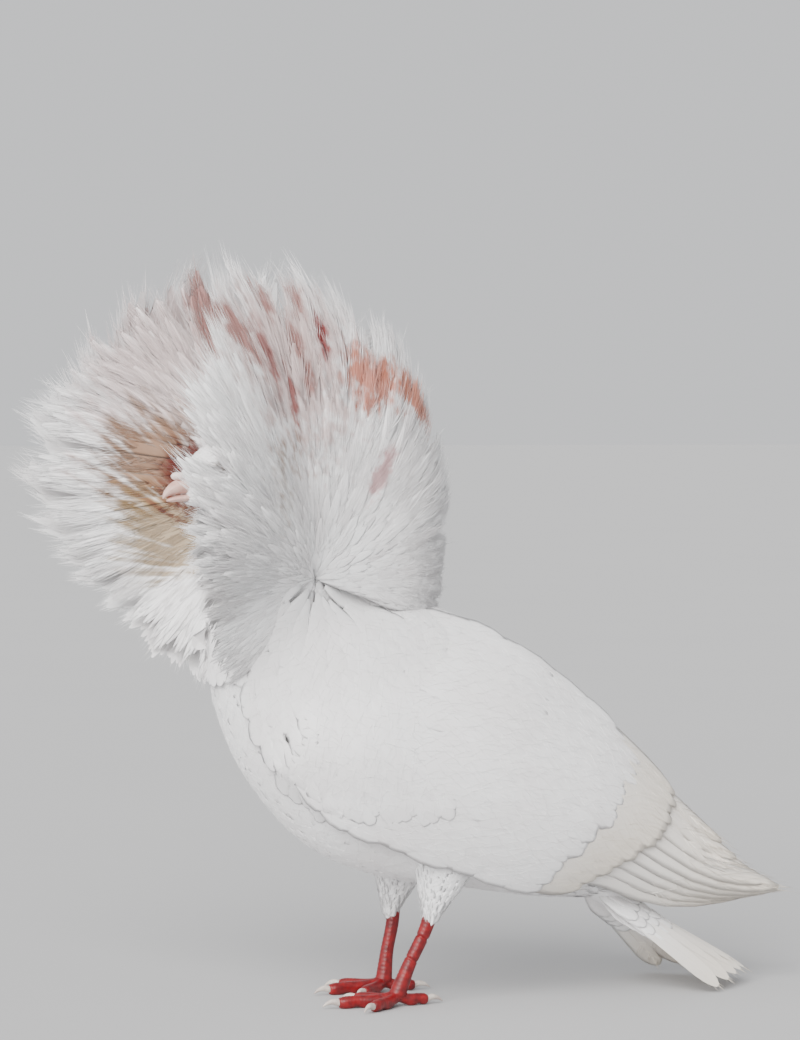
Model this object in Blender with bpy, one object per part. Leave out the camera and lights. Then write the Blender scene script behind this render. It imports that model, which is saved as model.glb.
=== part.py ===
"""A jacobin pigeon standing still, at life size, in metres with +Z up.

The bird faces -X and its left side is -Y. The floor is Z = 0. The hood, mane and chain of the ruff
radiate from a rose on each side of the neck, and are turned a little towards -Y with the head.
"""
import math
import random

import bmesh
import bpy
import numpy as np
from mathutils import Matrix, Vector

OBJECT_NAME = "jacobin_pigeon"
GAP = 0.0003
SEED = 11
# Middle of the whole outline, seen from above, in the frame of the sizes below. It becomes the origin
OUTLINE_MIDDLE = (0.0097, -0.0136)

# The ruff's own frame: forward, across towards +Y, and up, from a point under the neck
NECK_X = -0.066
NECK_Y = 0.0
RUFF_YAW = math.radians(10)
ROSE_HEIGHT = 0.213
ROSE_HALF_WIDTH = 0.041

# Rim of the ruff, seen round the rose: angle in degrees (0 forward, 90 up, 180 back), distance
# from the rose, half width at the rim, and the widest half width on the way there
RUFF_RIM = (
    (-64, 0.062, 0.006, 0.043),
    (-32, 0.066, 0.036, 0.047),
    (-6, 0.074, 0.060, 0.062),
    (18, 0.097, 0.084, 0.084),
    (36, 0.114, 0.092, 0.092),
    (53, 0.127, 0.081, 0.088),
    (66, 0.144, 0.050, 0.080),
    (80, 0.159, 0.009, 0.071),
    (98, 0.149, 0.001, 0.068),
    (120, 0.132, 0.001, 0.066),
    (148, 0.108, 0.002, 0.064),
    (172, 0.095, 0.004, 0.060),
    (198, 0.088, 0.010, 0.052),
)
ROSE_HOLLOW = 1.0
SHELL_ROUNDNESS = 2.4
SHELL_CLOSING = 0.80
CHAIN_START = -60
HOOD_START = 52
MANE_START = 116
MANE_END = 196
# Core under the vanes: reach and sink under the shell from row to row, and its rounded outer edge
CORE_FACE = ((0.10, 0.0015), (0.20, 0.0015), (0.30, 0.00225), (0.40, 0.0060))
CORE_EDGE = 0.0042
CORE_EDGE_NARROWED = 0.72
CORE_STEP = 14
NODE_MARGIN = 2.5
# Hollow in front of the core where the head looks out: forward, up, radius
FUNNEL = ((0.004, 0.258, 0.016), (0.014, 0.259, 0.027), (0.040, 0.260, 0.042), (0.090, 0.262, 0.066))
FUNNEL_SIDES = 16

# Vanes: shares of their length and width, from root to tip
SHORT_VANE = ((0.0, 0.22), (0.36, 0.66), (0.74, 1.0), (1.0, 0.34))
LONG_VANE = ((0.0, 0.20), (0.26, 0.50), (0.54, 0.86), (0.80, 1.0), (1.0, 0.36))
FLIGHT_VANE = ((0.0, 0.28), (0.40, 0.80), (0.80, 1.0), (1.0, 0.36))

# Tiers of ruff vanes: spacing in degrees, reach of root and tip, lift of root and tip, width
OUTER_TIERS = (
    {"step": 10.5, "root": 0.28, "tip": 1.00, "root_lift": -0.005, "lift": 0.0000, "width": 0.0260,
     "shape": LONG_VANE},
    {"step": 14.0, "root": 0.22, "tip": 0.77, "root_lift": -0.003, "lift": 0.0040, "width": 0.0250,
     "shape": LONG_VANE},
    {"step": 20.0, "root": 0.16, "tip": 0.54, "root_lift": -0.003, "lift": 0.0080, "width": 0.0220,
     "shape": SHORT_VANE},
)
# Tiers that line the hollow in front, from round the head out to the rim
LINING_TIERS = (
    {"step": 16.0, "root": 0.20, "tip": 0.86, "root_lift": 0.006, "lift": -0.0035, "width": 0.0280,
     "shape": SHORT_VANE},
    {"step": 22.0, "root": 0.14, "tip": 0.56, "root_lift": 0.004, "lift": -0.0070, "width": 0.0240,
     "shape": SHORT_VANE},
)
LINING_END = 86
LINING_RADIUS = 0.018
LINING_FORWARD = 0.006
LINING_HEIGHT = 0.259
VANE_THICKNESS = 0.0006
VANE_STAGGER = 0.0015
VANE_OVERLAP = 1.2
VANE_TURN_ANGLE = 84
VANE_TILT_MOST = math.radians(16)
# Short vanes on the ridge of the mane: angle between two, start and length as reach, half width
RIDGE_STEP = 15.0
RIDGE_MARGINS = (7, 4)
RIDGE_START = 0.36
RIDGE_LENGTH = 0.60
RIDGE_HALF_WIDTH = 0.0075

# Torso: points on the back line, points on the belly line, and half width, from neck to rump
TORSO = (
    (-0.031, 0.207, -0.099, 0.178, 0.039),
    (-0.004, 0.204, -0.095, 0.148, 0.048),
    (0.026, 0.193, -0.079, 0.112, 0.053),
    (0.056, 0.173, -0.049, 0.079, 0.053),
    (0.086, 0.149, -0.011, 0.062, 0.050),
    (0.109, 0.122, 0.032, 0.055, 0.043),
    (0.123, 0.100, 0.070, 0.049, 0.032),
    (0.128, 0.085, 0.098, 0.047, 0.022),
)
TORSO_SIDES = 20
TORSO_ROWS = 17

# Neck root above the torso: height, x, half length and half width, and its lean in height per length
NECK_ROOT = (
    (0.179, -0.0650, 0.0345, 0.0400),
    (0.198, -0.0645, 0.0340, 0.0415),
    (0.216, -0.0640, 0.0330, 0.0405),
)
NECK_LEAN = 0.28
NECK_ROOT_SIDES = 20
NECK_ROOT_ROWS = 5
# Slim neck hidden in the ruff: forward, up, radius
NECK_PATH = (
    (-0.004, 0.196, 0.021),
    (0.000, 0.216, 0.0185),
    (0.007, 0.235, 0.0155),
    (0.016, 0.250, 0.0135),
    (0.024, 0.260, 0.012),
)
NECK_SIDES = 12
NECK_ROWS = 6

# Head, in the ruff's frame: forward, height of its middle, half height, half width
HEAD_ROWS = (
    (0.0085, 0.2620, 0.0060, 0.0050),
    (0.0120, 0.2622, 0.0105, 0.0088),
    (0.0185, 0.2628, 0.0146, 0.0118),
    (0.0265, 0.2632, 0.0164, 0.0128),
    (0.0345, 0.2628, 0.0160, 0.0124),
    (0.0415, 0.2612, 0.0136, 0.0106),
    (0.0470, 0.2588, 0.0102, 0.0080),
    (0.0500, 0.2570, 0.0076, 0.0060),
)
HEAD_SIDES = 16
HEAD_COUNT = 11
BALL_SIDES = 12
BALL_RINGS = 6
EYE_FORWARD = 0.0335
EYE_HEIGHT = 0.2655
EYE_RADIUS = 0.0046
EYE_OUT = 0.0094
LID_RADIUS = 0.0044
LID_THICKNESS = 0.0008
LID_OUT = 0.0117
LID_SIDES = 4
# Corner of the mouth: a shallow slot on each side
GAPE_CENTRE = (0.0470, 0.0082, 0.2535)
GAPE_RADII = (0.0042, 0.0012, 0.0005)
# Bill rows: forward, height of the middle, half height, half width
BILL_UPPER = (
    (0.0503, 0.2580, 0.0040, 0.0050),
    (0.0535, 0.2574, 0.0036, 0.0041),
    (0.0570, 0.2562, 0.0030, 0.0030),
    (0.0600, 0.2545, 0.0021, 0.0019),
    (0.0614, 0.2532, 0.0009, 0.0008),
)
BILL_LOWER = (
    (0.0503, 0.2519, 0.0017, 0.0044),
    (0.0535, 0.2517, 0.0015, 0.0035),
    (0.0570, 0.2512, 0.0012, 0.0025),
    (0.0592, 0.2507, 0.0007, 0.0013),
)
BILL_SIDES = 10
BILL_UPPER_COUNT = 6
BILL_LOWER_COUNT = 4
CERE_CENTRE = (0.0528, 0.0019, 0.2626)
CERE_RADII = (0.0030, 0.0026, 0.0019)
NOSTRIL_CENTRE = (0.0554, 0.0034, 0.2596)
NOSTRIL_RADII = (0.0019, 0.0012, 0.0005)

# Folded wing: points on its upper edge, points on its lower edge, and half width of the bird there
WING = (
    (-0.058, 0.172, -0.074, 0.120, 0.0500),
    (-0.008, 0.196, -0.044, 0.093, 0.0600),
    (0.047, 0.182, 0.004, 0.073, 0.0620),
    (0.094, 0.148, 0.050, 0.058, 0.0540),
    (0.131, 0.115, 0.096, 0.051, 0.0400),
    (0.167, 0.081, 0.142, 0.041, 0.0270),
    (0.212, 0.053, 0.208, 0.044, 0.0150),
)
WING_CURVE_STEPS = 61
WING_BULGE = 1.75
WING_WIDEST = 0.60
WING_CORE_END = 0.50
WING_CORE_DEPTH = 0.013
WING_CORE_ROWS = 6
WING_CORE_START = 0.005
WING_CORE_PLACES = 5
WING_CORE_MARGIN = 0.03
WING_CORE_ROUNDING = 0.12
WING_CORE_LIFT = 0.001
WING_TIP_LIMIT = 0.985
WING_JITTER = 0.006
# Rows of wing vanes: how many, along and down the wing at root and tip for the first and the last
# vane, lift of root and tip, and width
WING_ROWS = (
    {"count": 6, "root": ((0.40, 0.30), (0.42, 0.80)), "tip": ((0.84, 0.04), (0.93, 0.90)), "bow": 0.075,
     "root_lift": -0.004, "lift": -0.0038, "width": 0.0155, "shape": FLIGHT_VANE},
    {"count": 8, "root": ((0.36, 0.08), (0.34, 0.92)), "tip": ((0.74, 0.05), (0.55, 0.96)), "bow": 0.035,
     "root_lift": -0.004, "lift": 0.0008, "width": 0.0190, "shape": FLIGHT_VANE},
    {"count": 7, "root": ((0.28, 0.12), (0.24, 0.92)), "tip": ((0.50, 0.08), (0.37, 0.96)), "bow": 0.02,
     "root_lift": -0.003, "lift": 0.0040, "width": 0.0200, "shape": FLIGHT_VANE},
    {"count": 6, "root": ((0.16, 0.16), (0.12, 0.90)), "tip": ((0.36, 0.12), (0.24, 0.95)), "bow": 0.01,
     "root_lift": -0.003, "lift": 0.0070, "width": 0.0200, "shape": FLIGHT_VANE},
)

# Tail: root and tip of its middle line, half widths of the fan, drop of its outer feathers
TAIL_ROOT = (0.1085, 0.0535)
TAIL_TIP = (0.1870, 0.0100)
TAIL_HALF_WIDTH = (0.014, 0.041)
TAIL_ARCH = 0.0280
TAIL_SHORTER = 0.46
# Rows of tail vanes: how many, root and tip along the fan, lift of root and tip, and width
TAIL_ROWS = (
    {"count": 12, "root": 0.18, "tip": 0.985, "root_lift": -0.001, "lift": 0.0, "width": 0.0140,
     "shape": FLIGHT_VANE},
    {"count": 6, "root": 0.08, "tip": 0.50, "root_lift": 0.0, "lift": 0.0035, "width": 0.0154,
     "shape": FLIGHT_VANE},
)
TAIL_SPREAD = 0.92
TAIL_ROOT_SPREAD = 0.80
TAIL_STEP_DOWN = 0.0003
# Core of the tail: share of the fan's length, and share of the rump's size
TAIL_CORE = (
    (0.0, 1.0), (0.16, 0.72), (0.30, 0.42), (0.42, 0.14),
)
TAIL_CORE_SIZE = 0.94
RUMP_WAY = np.array((0.79, 0, -0.61))
TAIL_CORE_LEAST_WIDTH = 0.62
TAIL_CORE_SINK = 0.0015

# Legs: hock and foot of each leg (forward is -X), and toes as turn in degrees and length
LEGS = {
    "left": {"side": -1, "thigh_top": (0.022, 0.027, 0.092), "hock": (0.009, 0.026, 0.050),
             "foot": (-0.010, 0.024)},
    "right": {"side": 1, "thigh_top": (0.018, 0.027, 0.092), "hock": (0.006, 0.026, 0.048),
              "foot": (0.000, 0.024)},
}
# Thigh: share of the way to the hock, half length, half width
THIGH_ROWS = (
    (0.0, 0.0230, 0.0180),
    (0.35, 0.0195, 0.0155),
    (0.75, 0.0125, 0.0110),
    (1.0, 0.0070, 0.0066),
)
THIGH_SIDES = 14
THIGH_COUNT = 7
SHANK_RADIUS = (0.0040, 0.0035, 0.0044)
SHANK_SIDES = 10
TOES = (("middle", 4, 0.030, 0.0037), ("inner", 44, 0.023, 0.0034), ("outer", -40, 0.024, 0.0034),
        ("hind", 176, 0.016, 0.0033))
TOE_HEIGHT = 0.0028
TOE_SIDES = 8
# Toe: share of its length, height of its arch there, and share of its radius
TOE_ARCH = (
    (0.0, 0.0024, 0.95), (0.22, 0.0010, 0.86), (0.45, 0.0, 1.0),
    (0.68, 0.0005, 0.84), (0.88, 0.0, 0.92), (1.0, 0.0, 0.70),
)
FOOT_TOP = 0.0032
SHANK_BEND = 0.0012
CLAW_LENGTH = 0.0085
CLAW_RADIUS = 0.0016
CLAW_SIDES = 6
# Claw: share of its length, height of its curve, and share of its radius
CLAW_CURVE = ((0.0, 0.0002, 1.0), (0.35, 0.0006, 0.85), (0.7, -0.0002, 0.55), (1.0, -0.0016, 0.16))
CUTTER_SIZE = 0.7
SMOOTH_ANGLE = math.radians(35)

MATERIALS = {
    "plumage": ((0.86, 0.85, 0.84, 1), 0.80, 0.0),
    "flight": ((0.84, 0.81, 0.77, 1), 0.62, 0.0),
    "ruff": ((0.86, 0.83, 0.82, 1), 0.85, 0.0),
    "bill": ((0.80, 0.66, 0.60, 1), 0.45, 0.0),
    "cere": ((0.83, 0.74, 0.71, 1), 0.80, 0.0),
    "eye": ((0.55, 0.10, 0.04, 1), 0.08, 0.0),
    "leg": ((0.62, 0.04, 0.04, 1), 0.50, 0.0),
    "claw": ((0.66, 0.58, 0.50, 1), 0.40, 0.0),
}


def clear_scene():
    """Remove every object that the file holds."""
    for item in list(bpy.data.objects):
        bpy.data.objects.remove(item, do_unlink=True)


def collection(name):
    """A new collection linked to the scene."""
    group = bpy.data.collections.new(name)
    bpy.context.scene.collection.children.link(group)
    return group


def material(slot, name):
    """A Principled material of its own for one node."""
    colour, roughness, metallic = MATERIALS[slot]
    surface = bpy.data.materials.new(name)
    surface.use_nodes = True
    shader = surface.node_tree.nodes["Principled BSDF"]
    shader.inputs["Base Color"].default_value = colour
    shader.inputs["Roughness"].default_value = roughness
    shader.inputs["Metallic"].default_value = metallic
    return surface


def smooth_rows(rows, count):
    """Catmull-Rom curve through rows of numbers, read at count even steps."""
    table = np.array(rows, dtype=float)
    padded = np.vstack((2 * table[0] - table[1], table, 2 * table[-1] - table[-2]))
    place = np.linspace(0, len(table) - 1, count)
    cell = np.minimum(place.astype(int), len(table) - 2)
    t = (place - cell)[:, None]
    a, b, c, d = (padded[cell + k] for k in range(4))
    square = (2 * a - 5 * b + 4 * c - d) * t ** 2
    cube = (3 * b - a - 3 * c + d) * t ** 3
    return 0.5 * (2 * b + (c - a) * t + square + cube)


def loft(name, rings, group):
    """A closed skin over rings of points, with a flat cap at each end, split into triangles."""
    rings = np.array(rings, dtype=float)
    rows, sides = rings.shape[:2]
    bm = bmesh.new()
    grid = [[bm.verts.new(point) for point in ring] for ring in rings]
    for i in range(rows - 1):
        for j in range(sides):
            k = (j + 1) % sides
            bm.faces.new((grid[i][j], grid[i][k], grid[i + 1][k]))
            bm.faces.new((grid[i][j], grid[i + 1][k], grid[i + 1][j]))
    bm.faces.new(grid[0][::-1])
    bm.faces.new(grid[-1])
    bmesh.ops.triangulate(bm, faces=bm.faces[:])
    bmesh.ops.recalc_face_normals(bm, faces=bm.faces[:])
    mesh = bpy.data.meshes.new(name)
    bm.to_mesh(mesh)
    bm.free()
    item = bpy.data.objects.new(name, mesh)
    group.objects.link(item)
    return item


def evaluated(item):
    """The object's mesh with its modifiers applied."""
    bpy.context.view_layer.update()
    graph = bpy.context.evaluated_depsgraph_get()
    return bpy.data.meshes.new_from_object(item.evaluated_get(graph))


def keep_largest(mesh):
    """Keep only the closed surface with the greatest volume."""
    bm = bmesh.new()
    bm.from_mesh(mesh)
    bmesh.ops.triangulate(bm, faces=bm.faces[:])
    bmesh.ops.dissolve_degenerate(bm, dist=1e-6, edges=bm.edges[:])
    bmesh.ops.triangulate(bm, faces=bm.faces[:])
    unseen = set(bm.faces)
    best, best_volume = [], 0.0
    while unseen:
        stack = [unseen.pop()]
        island = []
        while stack:
            face = stack.pop()
            island.append(face)
            for edge in face.edges:
                if len(edge.link_faces) != 2:
                    continue
                for other in edge.link_faces:
                    if other in unseen:
                        unseen.remove(other)
                        stack.append(other)
        volume = sum(f.verts[0].co.dot(f.verts[1].co.cross(f.verts[2].co)) for f in island) / 6
        if volume > best_volume:
            best, best_volume = island, volume
    chosen = set(best)
    bmesh.ops.delete(bm, geom=[f for f in bm.faces if f not in chosen], context="FACES")
    bm.to_mesh(mesh)
    bm.free()


def boolean(item, pieces, operation, solver="EXACT"):
    """Apply one Boolean of a collection of closed pieces to item, then remove the pieces."""
    if not pieces:
        return item
    tools = collection(item.name + "_tools")
    for piece in pieces:
        for owner in list(piece.users_collection):
            owner.objects.unlink(piece)
        tools.objects.link(piece)
        piece.hide_render = True
        piece.display_type = "WIRE"
    change = item.modifiers.new("join", "BOOLEAN")
    change.operation = operation
    change.operand_type = "COLLECTION"
    change.collection = tools
    change.solver = solver
    mesh = evaluated(item)
    item.modifiers.remove(change)
    keep_largest(mesh)
    item.data = mesh
    for piece in pieces:
        bpy.data.objects.remove(piece, do_unlink=True)
    bpy.data.collections.remove(tools)
    return item


def finish(item, slot, parts, smooth=True):
    """Give a node its material and its place in the part's collection."""
    for owner in list(item.users_collection):
        owner.objects.unlink(item)
    parts.objects.link(item)
    item.data.materials.clear()
    item.data.materials.append(material(slot, item.name))
    if smooth:
        item.data.shade_smooth()
        item.data.set_sharp_from_angle(angle=SMOOTH_ANGLE)
    return item


def ruff_world(points):
    """Points of the ruff's frame (forward, across, up) in the part's frame."""
    points = np.asarray(points, dtype=float)
    forward, across, up = points[..., 0], points[..., 1], points[..., 2]
    cosine, sine = math.cos(RUFF_YAW), math.sin(RUFF_YAW)
    x = NECK_X - cosine * forward - sine * across
    y = NECK_Y - sine * forward + cosine * across
    return np.stack((x, y, up), axis=-1)


def rim_at(angle):
    """Distance, rim half width and widest half width of the ruff at an angle in degrees."""
    table = np.array(RUFF_RIM)
    curve = smooth_rows(RUFF_RIM, 8 * len(table))
    return [np.interp(angle, curve[:, 0], curve[:, k]) for k in (1, 2, 3)]


def ruff_shell(angle, reach):
    """A point of the +Y side's shell: straight out from the rose, bulging and closing to the rim."""
    distance, rim, widest = rim_at(angle)
    turn = math.radians(angle)
    out = max(reach, 0.0)
    across = rim + (widest - rim) * max(1 - out ** SHELL_ROUNDNESS, 0.0) ** SHELL_CLOSING
    across -= (widest - ROSE_HALF_WIDTH) * max(0.0, 1 - out / ROSE_HOLLOW) ** 2
    up = ROSE_HEIGHT + out * distance * math.sin(turn)
    return np.array((out * distance * math.cos(turn), across, up))


def surface_frame(surface, p, q, dp, dq):
    """Point, direction along q, direction across and outward normal of a surface at (p, q)."""
    point = surface(p, q)
    across = surface(p + dp, q) - surface(p - dp, q)
    along = surface(p, q + dq / 2) - surface(p, q - dq / 2)
    along /= np.linalg.norm(along)
    normal = np.cross(along, across)
    normal /= np.linalg.norm(normal)
    if normal[1] < 0:
        normal = -normal
    across = np.cross(normal, along)
    return point, along, across, normal


def flat_ring(point, half, thick):
    """Four corners of a vane's section, from half its width and half its thickness."""
    return (point - half - thick, point + half - thick, point + half + thick, point - half + thick)


def vane_rings(surface, start, end, size, steps, spacing, turned=1):
    """Rings of a flat tapered vane that follows a surface from start to end.

    It is tilted like a shingle, by so much that it passes its neighbour at VANE_STAGGER, where the
    neighbour is spacing away at the root and at the tip.
    """
    rings = []
    for t, width in size["shape"]:
        p = start[0] + (end[0] - start[0]) * t
        q = start[1] + (end[1] - start[1]) * t
        point, _, across, normal = surface_frame(surface, p, min(q, 1 - steps[1]), *steps)
        apart = np.linalg.norm(surface(p + steps[0], q) - surface(p - steps[0], q)) / (2 * steps[0])
        apart *= spacing[0] + (spacing[1] - spacing[0]) * t
        tilt = turned * min(math.asin(min(VANE_STAGGER / apart, 1.0)), VANE_TILT_MOST)
        ease = 1 - (1 - t) ** 2
        point = point + normal * (size["root_lift"] + (size["lift"] - size["root_lift"]) * ease)
        side = across * math.cos(tilt) + normal * math.sin(tilt)
        face = normal * math.cos(tilt) - across * math.sin(tilt)
        half = side * min(width * size["width"], VANE_OVERLAP * apart) / 2
        thick = face * VANE_THICKNESS * (0.5 if t < 1 else 0.3)
        rings.append(flat_ring(point, half, thick))
    return np.array(rings)


def ruff_tiers(surface, first, last, tiers, rng, turned=1):
    """Rings of one side's vanes on a surface, tier by tier, for the angles from first to last."""
    vanes = []
    for size in tiers:
        count = max(2, int(round((last - first) / size["step"])))
        step = (last - first) / count
        for i in range(count):
            angle = first + step * (i + 0.5) + rng.uniform(-0.04, 0.04) * step
            tip = size["tip"] * rng.uniform(0.97, 1.0)
            lean = rng.uniform(-0.10, 0.10) * step
            way = turned if angle < VANE_TURN_ANGLE else 1
            root = (angle, size["root"])
            vanes.append(vane_rings(surface, root, (angle + lean, tip), size, (0.5, 0.01), (step, step), way))
    return vanes


def ruff_lining(angle, reach):
    """A point of the +Y side's lining: from a ring round the head straight out to the shell's rim."""
    rim = ruff_shell(angle, 1.0)
    turn = math.atan2(rim[2] - LINING_HEIGHT, rim[1])
    up = LINING_HEIGHT + LINING_RADIUS * math.sin(turn)
    start = np.array((LINING_FORWARD, LINING_RADIUS * math.cos(turn), up))
    return start + (rim - start) * reach


def core_ring(angle, half):
    """Outline of the ruff's core in the half plane at an angle, on the +Y side or on both."""
    face = [ruff_shell(angle, reach) - np.array((0, sink, 0)) for reach, sink in CORE_FACE]
    onward = (face[-1] - face[-2]) / np.linalg.norm(face[-1] - face[-2])
    edge = (face[-1] + CORE_EDGE * onward) * np.array((1, CORE_EDGE_NARROWED, 1))
    inner = face[0] * np.array((1, 0, 1))
    middle = edge * np.array((1, 0, 1))
    if half:
        return [inner, *face, edge, middle]
    mirror = np.array((1, -1, 1))
    return [*face, edge, middle, edge * mirror, *[point * mirror for point in face[::-1]], inner]


def cutter_cube(name, group):
    """A cube round the origin, large enough to cut away all that lies on one side of a face."""
    bm = bmesh.new()
    bmesh.ops.create_cube(bm, size=CUTTER_SIZE)
    mesh = bpy.data.meshes.new(name)
    bm.to_mesh(mesh)
    bm.free()
    item = bpy.data.objects.new(name, mesh)
    group.objects.link(item)
    return item


def sector_box(name, angle, keep_above, group):
    """A cutter box with one face on the half plane at an angle round the rose."""
    item = cutter_cube(name, group)
    turn = math.radians(angle)
    way = -1 if keep_above else 1
    normal = np.array((-math.sin(turn), 0, math.cos(turn))) * way
    centre = np.array((0, 0, ROSE_HEIGHT)) + normal * (CUTTER_SIZE - GAP) / 2
    forward = np.array((math.cos(turn), 0, math.sin(turn)))
    origin = ruff_world(np.zeros(3))
    axes = [Vector(ruff_world(axis) - origin) for axis in (forward, np.array((0, 1, 0)), normal)]
    rotation = Matrix([list(row) for row in zip(*axes)])
    if rotation.determinant() < 0:
        rotation = Matrix([list(row) for row in zip(axes[0], -axes[1], axes[2])])
    item.data.transform(Matrix.Translation(Vector(ruff_world(centre))) @ rotation.to_4x4())
    return item


def middle_box(name, side, group):
    """A cutter box that takes away what lies past the ruff's middle plane."""
    item = cutter_cube(name, group)
    centre = ruff_world(np.array((0, -side * (CUTTER_SIZE - GAP) / 2, ROSE_HEIGHT)))
    item.data.transform(Matrix.Translation(Vector(centre)) @ Matrix.Rotation(RUFF_YAW, 4, "Z"))
    return item


def turns_of(sides):
    """Angles of the corners of a ring, in radians."""
    return [2 * math.pi * k / sides for k in range(sides)]


def neck_rings(grow):
    """Rings of the slim neck that carries the head, grown by a clearance."""
    rows = smooth_rows(NECK_PATH, NECK_ROWS)
    rings = []
    for i, (forward, up, radius) in enumerate(rows):
        ahead = rows[min(i + 1, len(rows) - 1), :2] - rows[max(i - 1, 0), :2]
        ahead /= np.linalg.norm(ahead)
        ring = []
        for turn in turns_of(NECK_SIDES):
            offset = (radius + grow) * math.cos(turn)
            across = (radius + grow) * math.sin(turn)
            ring.append((forward + ahead[1] * offset, across, up - ahead[0] * offset))
        rings.append(ruff_world(ring))
    return rings


def end_shift(i, count, grow):
    """How far a ring moves along the row when it is grown: the two end rings move outwards."""
    if i == 0:
        return -grow
    return grow if i == count - 1 else 0.0


def head_rings(grow, rows=HEAD_ROWS, count=HEAD_COUNT, sides=HEAD_SIDES):
    """Rings of the head or the bill, grown by a clearance."""
    rings = []
    for i, (forward, up, half_height, half_width) in enumerate(smooth_rows(rows, count)):
        place = forward + end_shift(i, count, grow)
        wide, high = half_width + grow, half_height + grow
        ring = [(place, wide * math.sin(t), up + high * math.cos(t)) for t in turns_of(sides)]
        rings.append(ruff_world(ring))
    return rings


def torso_rings(grow=0.0, rows=TORSO_ROWS):
    """Rings of the torso from the neck to the rump, grown by a clearance."""
    table = smooth_rows(TORSO, rows)
    rings = []
    for i, (top_x, top_z, low_x, low_z, half_width) in enumerate(table):
        top = np.array((top_x, 0, top_z))
        low = np.array((low_x, 0, low_z))
        centre = (top + low) / 2
        half = (top - low) / 2
        length = np.linalg.norm(half)
        half *= (length + grow) / length
        along = np.cross((0, 1, 0), half / length)
        if along[0] < 0:
            along = -along
        centre = centre + along * end_shift(i, rows, grow)
        wide = np.array((0, half_width + grow, 0))
        rings.append([centre + half * math.cos(t) + wide * math.sin(t) for t in turns_of(TORSO_SIDES)])
    return rings


def ellipsoid(name, centre, radii, group):
    """A closed ellipsoid from a UV sphere, placed in the ruff's frame."""
    bm = bmesh.new()
    bmesh.ops.create_uvsphere(bm, u_segments=BALL_SIDES, v_segments=BALL_RINGS, radius=1.0)
    mesh = bpy.data.meshes.new(name)
    bm.to_mesh(mesh)
    bm.free()
    mesh.transform(Matrix.Diagonal((*radii, 1.0)))
    mesh.transform(Matrix.Rotation(math.pi + RUFF_YAW, 4, "Z"))
    mesh.transform(Matrix.Translation(Vector(ruff_world(centre))))
    item = bpy.data.objects.new(name, mesh)
    group.objects.link(item)
    return item


def lid_ring(name, side, group):
    """A raised lid round one eye, as a torus lying on the side of the head."""
    bpy.ops.mesh.primitive_torus_add(major_radius=LID_RADIUS, minor_radius=LID_THICKNESS,
                                     major_segments=BALL_SIDES, minor_segments=LID_SIDES)
    item = bpy.context.object
    item.name = name
    mesh = item.data
    mesh.transform(Matrix.Rotation(math.pi / 2, 4, "X"))
    mesh.transform(Matrix.Rotation(math.pi + RUFF_YAW, 4, "Z"))
    centre = (EYE_FORWARD, side * LID_OUT, EYE_HEIGHT)
    mesh.transform(Matrix.Translation(Vector(ruff_world(centre))))
    for owner in list(item.users_collection):
        owner.objects.unlink(item)
    group.objects.link(item)
    return item


def pair_of(name, centre, radii, group):
    """Two ellipsoids, one on each side of the head."""
    forward, across, up = centre
    return [ellipsoid(f"{name}_{side}", (forward, side * across, up), radii, group) for side in (-1, 1)]


def build_head(parts, work):
    """Head with lids, sockets and the corners of the mouth, and the eyes."""
    eye_centre = (EYE_FORWARD, EYE_OUT, EYE_HEIGHT)
    head = loft("head", head_rings(0.0), work)
    boolean(head, [lid_ring(f"lid_{side}", side, work) for side in (-1, 1)], "UNION")
    sockets = pair_of("socket", eye_centre, [EYE_RADIUS + GAP] * 3, work)
    gape = pair_of("gape", GAPE_CENTRE, GAPE_RADII, work)
    boolean(head, sockets + gape, "DIFFERENCE")
    finish(head, "plumage", parts)
    for eye, name in zip(pair_of("eye", eye_centre, [EYE_RADIUS] * 3, work), ("eye_left", "eye_right")):
        eye.name = name
        finish(eye, "eye", parts)


def build_bill(parts, work):
    """Upper and lower half of the bill, and the cere with its nostrils."""
    upper = loft("bill_upper", head_rings(0.0, BILL_UPPER, BILL_UPPER_COUNT, BILL_SIDES), work)
    finish(upper, "bill", parts)
    lower = loft("bill_lower", head_rings(0.0, BILL_LOWER, BILL_LOWER_COUNT, BILL_SIDES), work)
    finish(lower, "bill", parts)
    lobes = pair_of("cere", CERE_CENTRE, CERE_RADII, work)
    cere = boolean(lobes[0], lobes[1:], "UNION")
    cere.name = "cere"
    cuts = [
        loft("cere_cut_bill", head_rings(GAP, BILL_UPPER, BILL_UPPER_COUNT, BILL_SIDES), work),
        loft("cere_cut_head", head_rings(GAP), work),
    ]
    cuts += pair_of("nostril", NOSTRIL_CENTRE, NOSTRIL_RADII, work)
    boolean(cere, cuts, "DIFFERENCE")
    finish(cere, "cere", parts)


def build_neck(parts, work):
    """Neck: a wide feathered root above the torso, and the slim neck up to the head."""
    rings = []
    for up, x, half_length, half_width in smooth_rows(NECK_ROOT, NECK_ROOT_ROWS):
        ring = []
        for turn in turns_of(NECK_ROOT_SIDES):
            ahead = half_length * math.cos(turn)
            ring.append((x + ahead, half_width * math.sin(turn), up + NECK_LEAN * ahead))
        rings.append(ring)
    root = loft("neck", rings, work)
    boxes = [sector_box("neck_above_chain", CHAIN_START, False, work),
             sector_box("neck_above_mane", MANE_END, True, work)]
    boolean(root, boxes, "DIFFERENCE")
    boolean(root, [loft("neck_stem", neck_rings(0.0), work)], "UNION")
    cuts = [
        loft("neck_head_cut", head_rings(GAP), work),
        loft("neck_torso_cut", torso_rings(GAP), work),
    ]
    boolean(root, cuts, "DIFFERENCE")
    finish(root, "plumage", parts)


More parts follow.
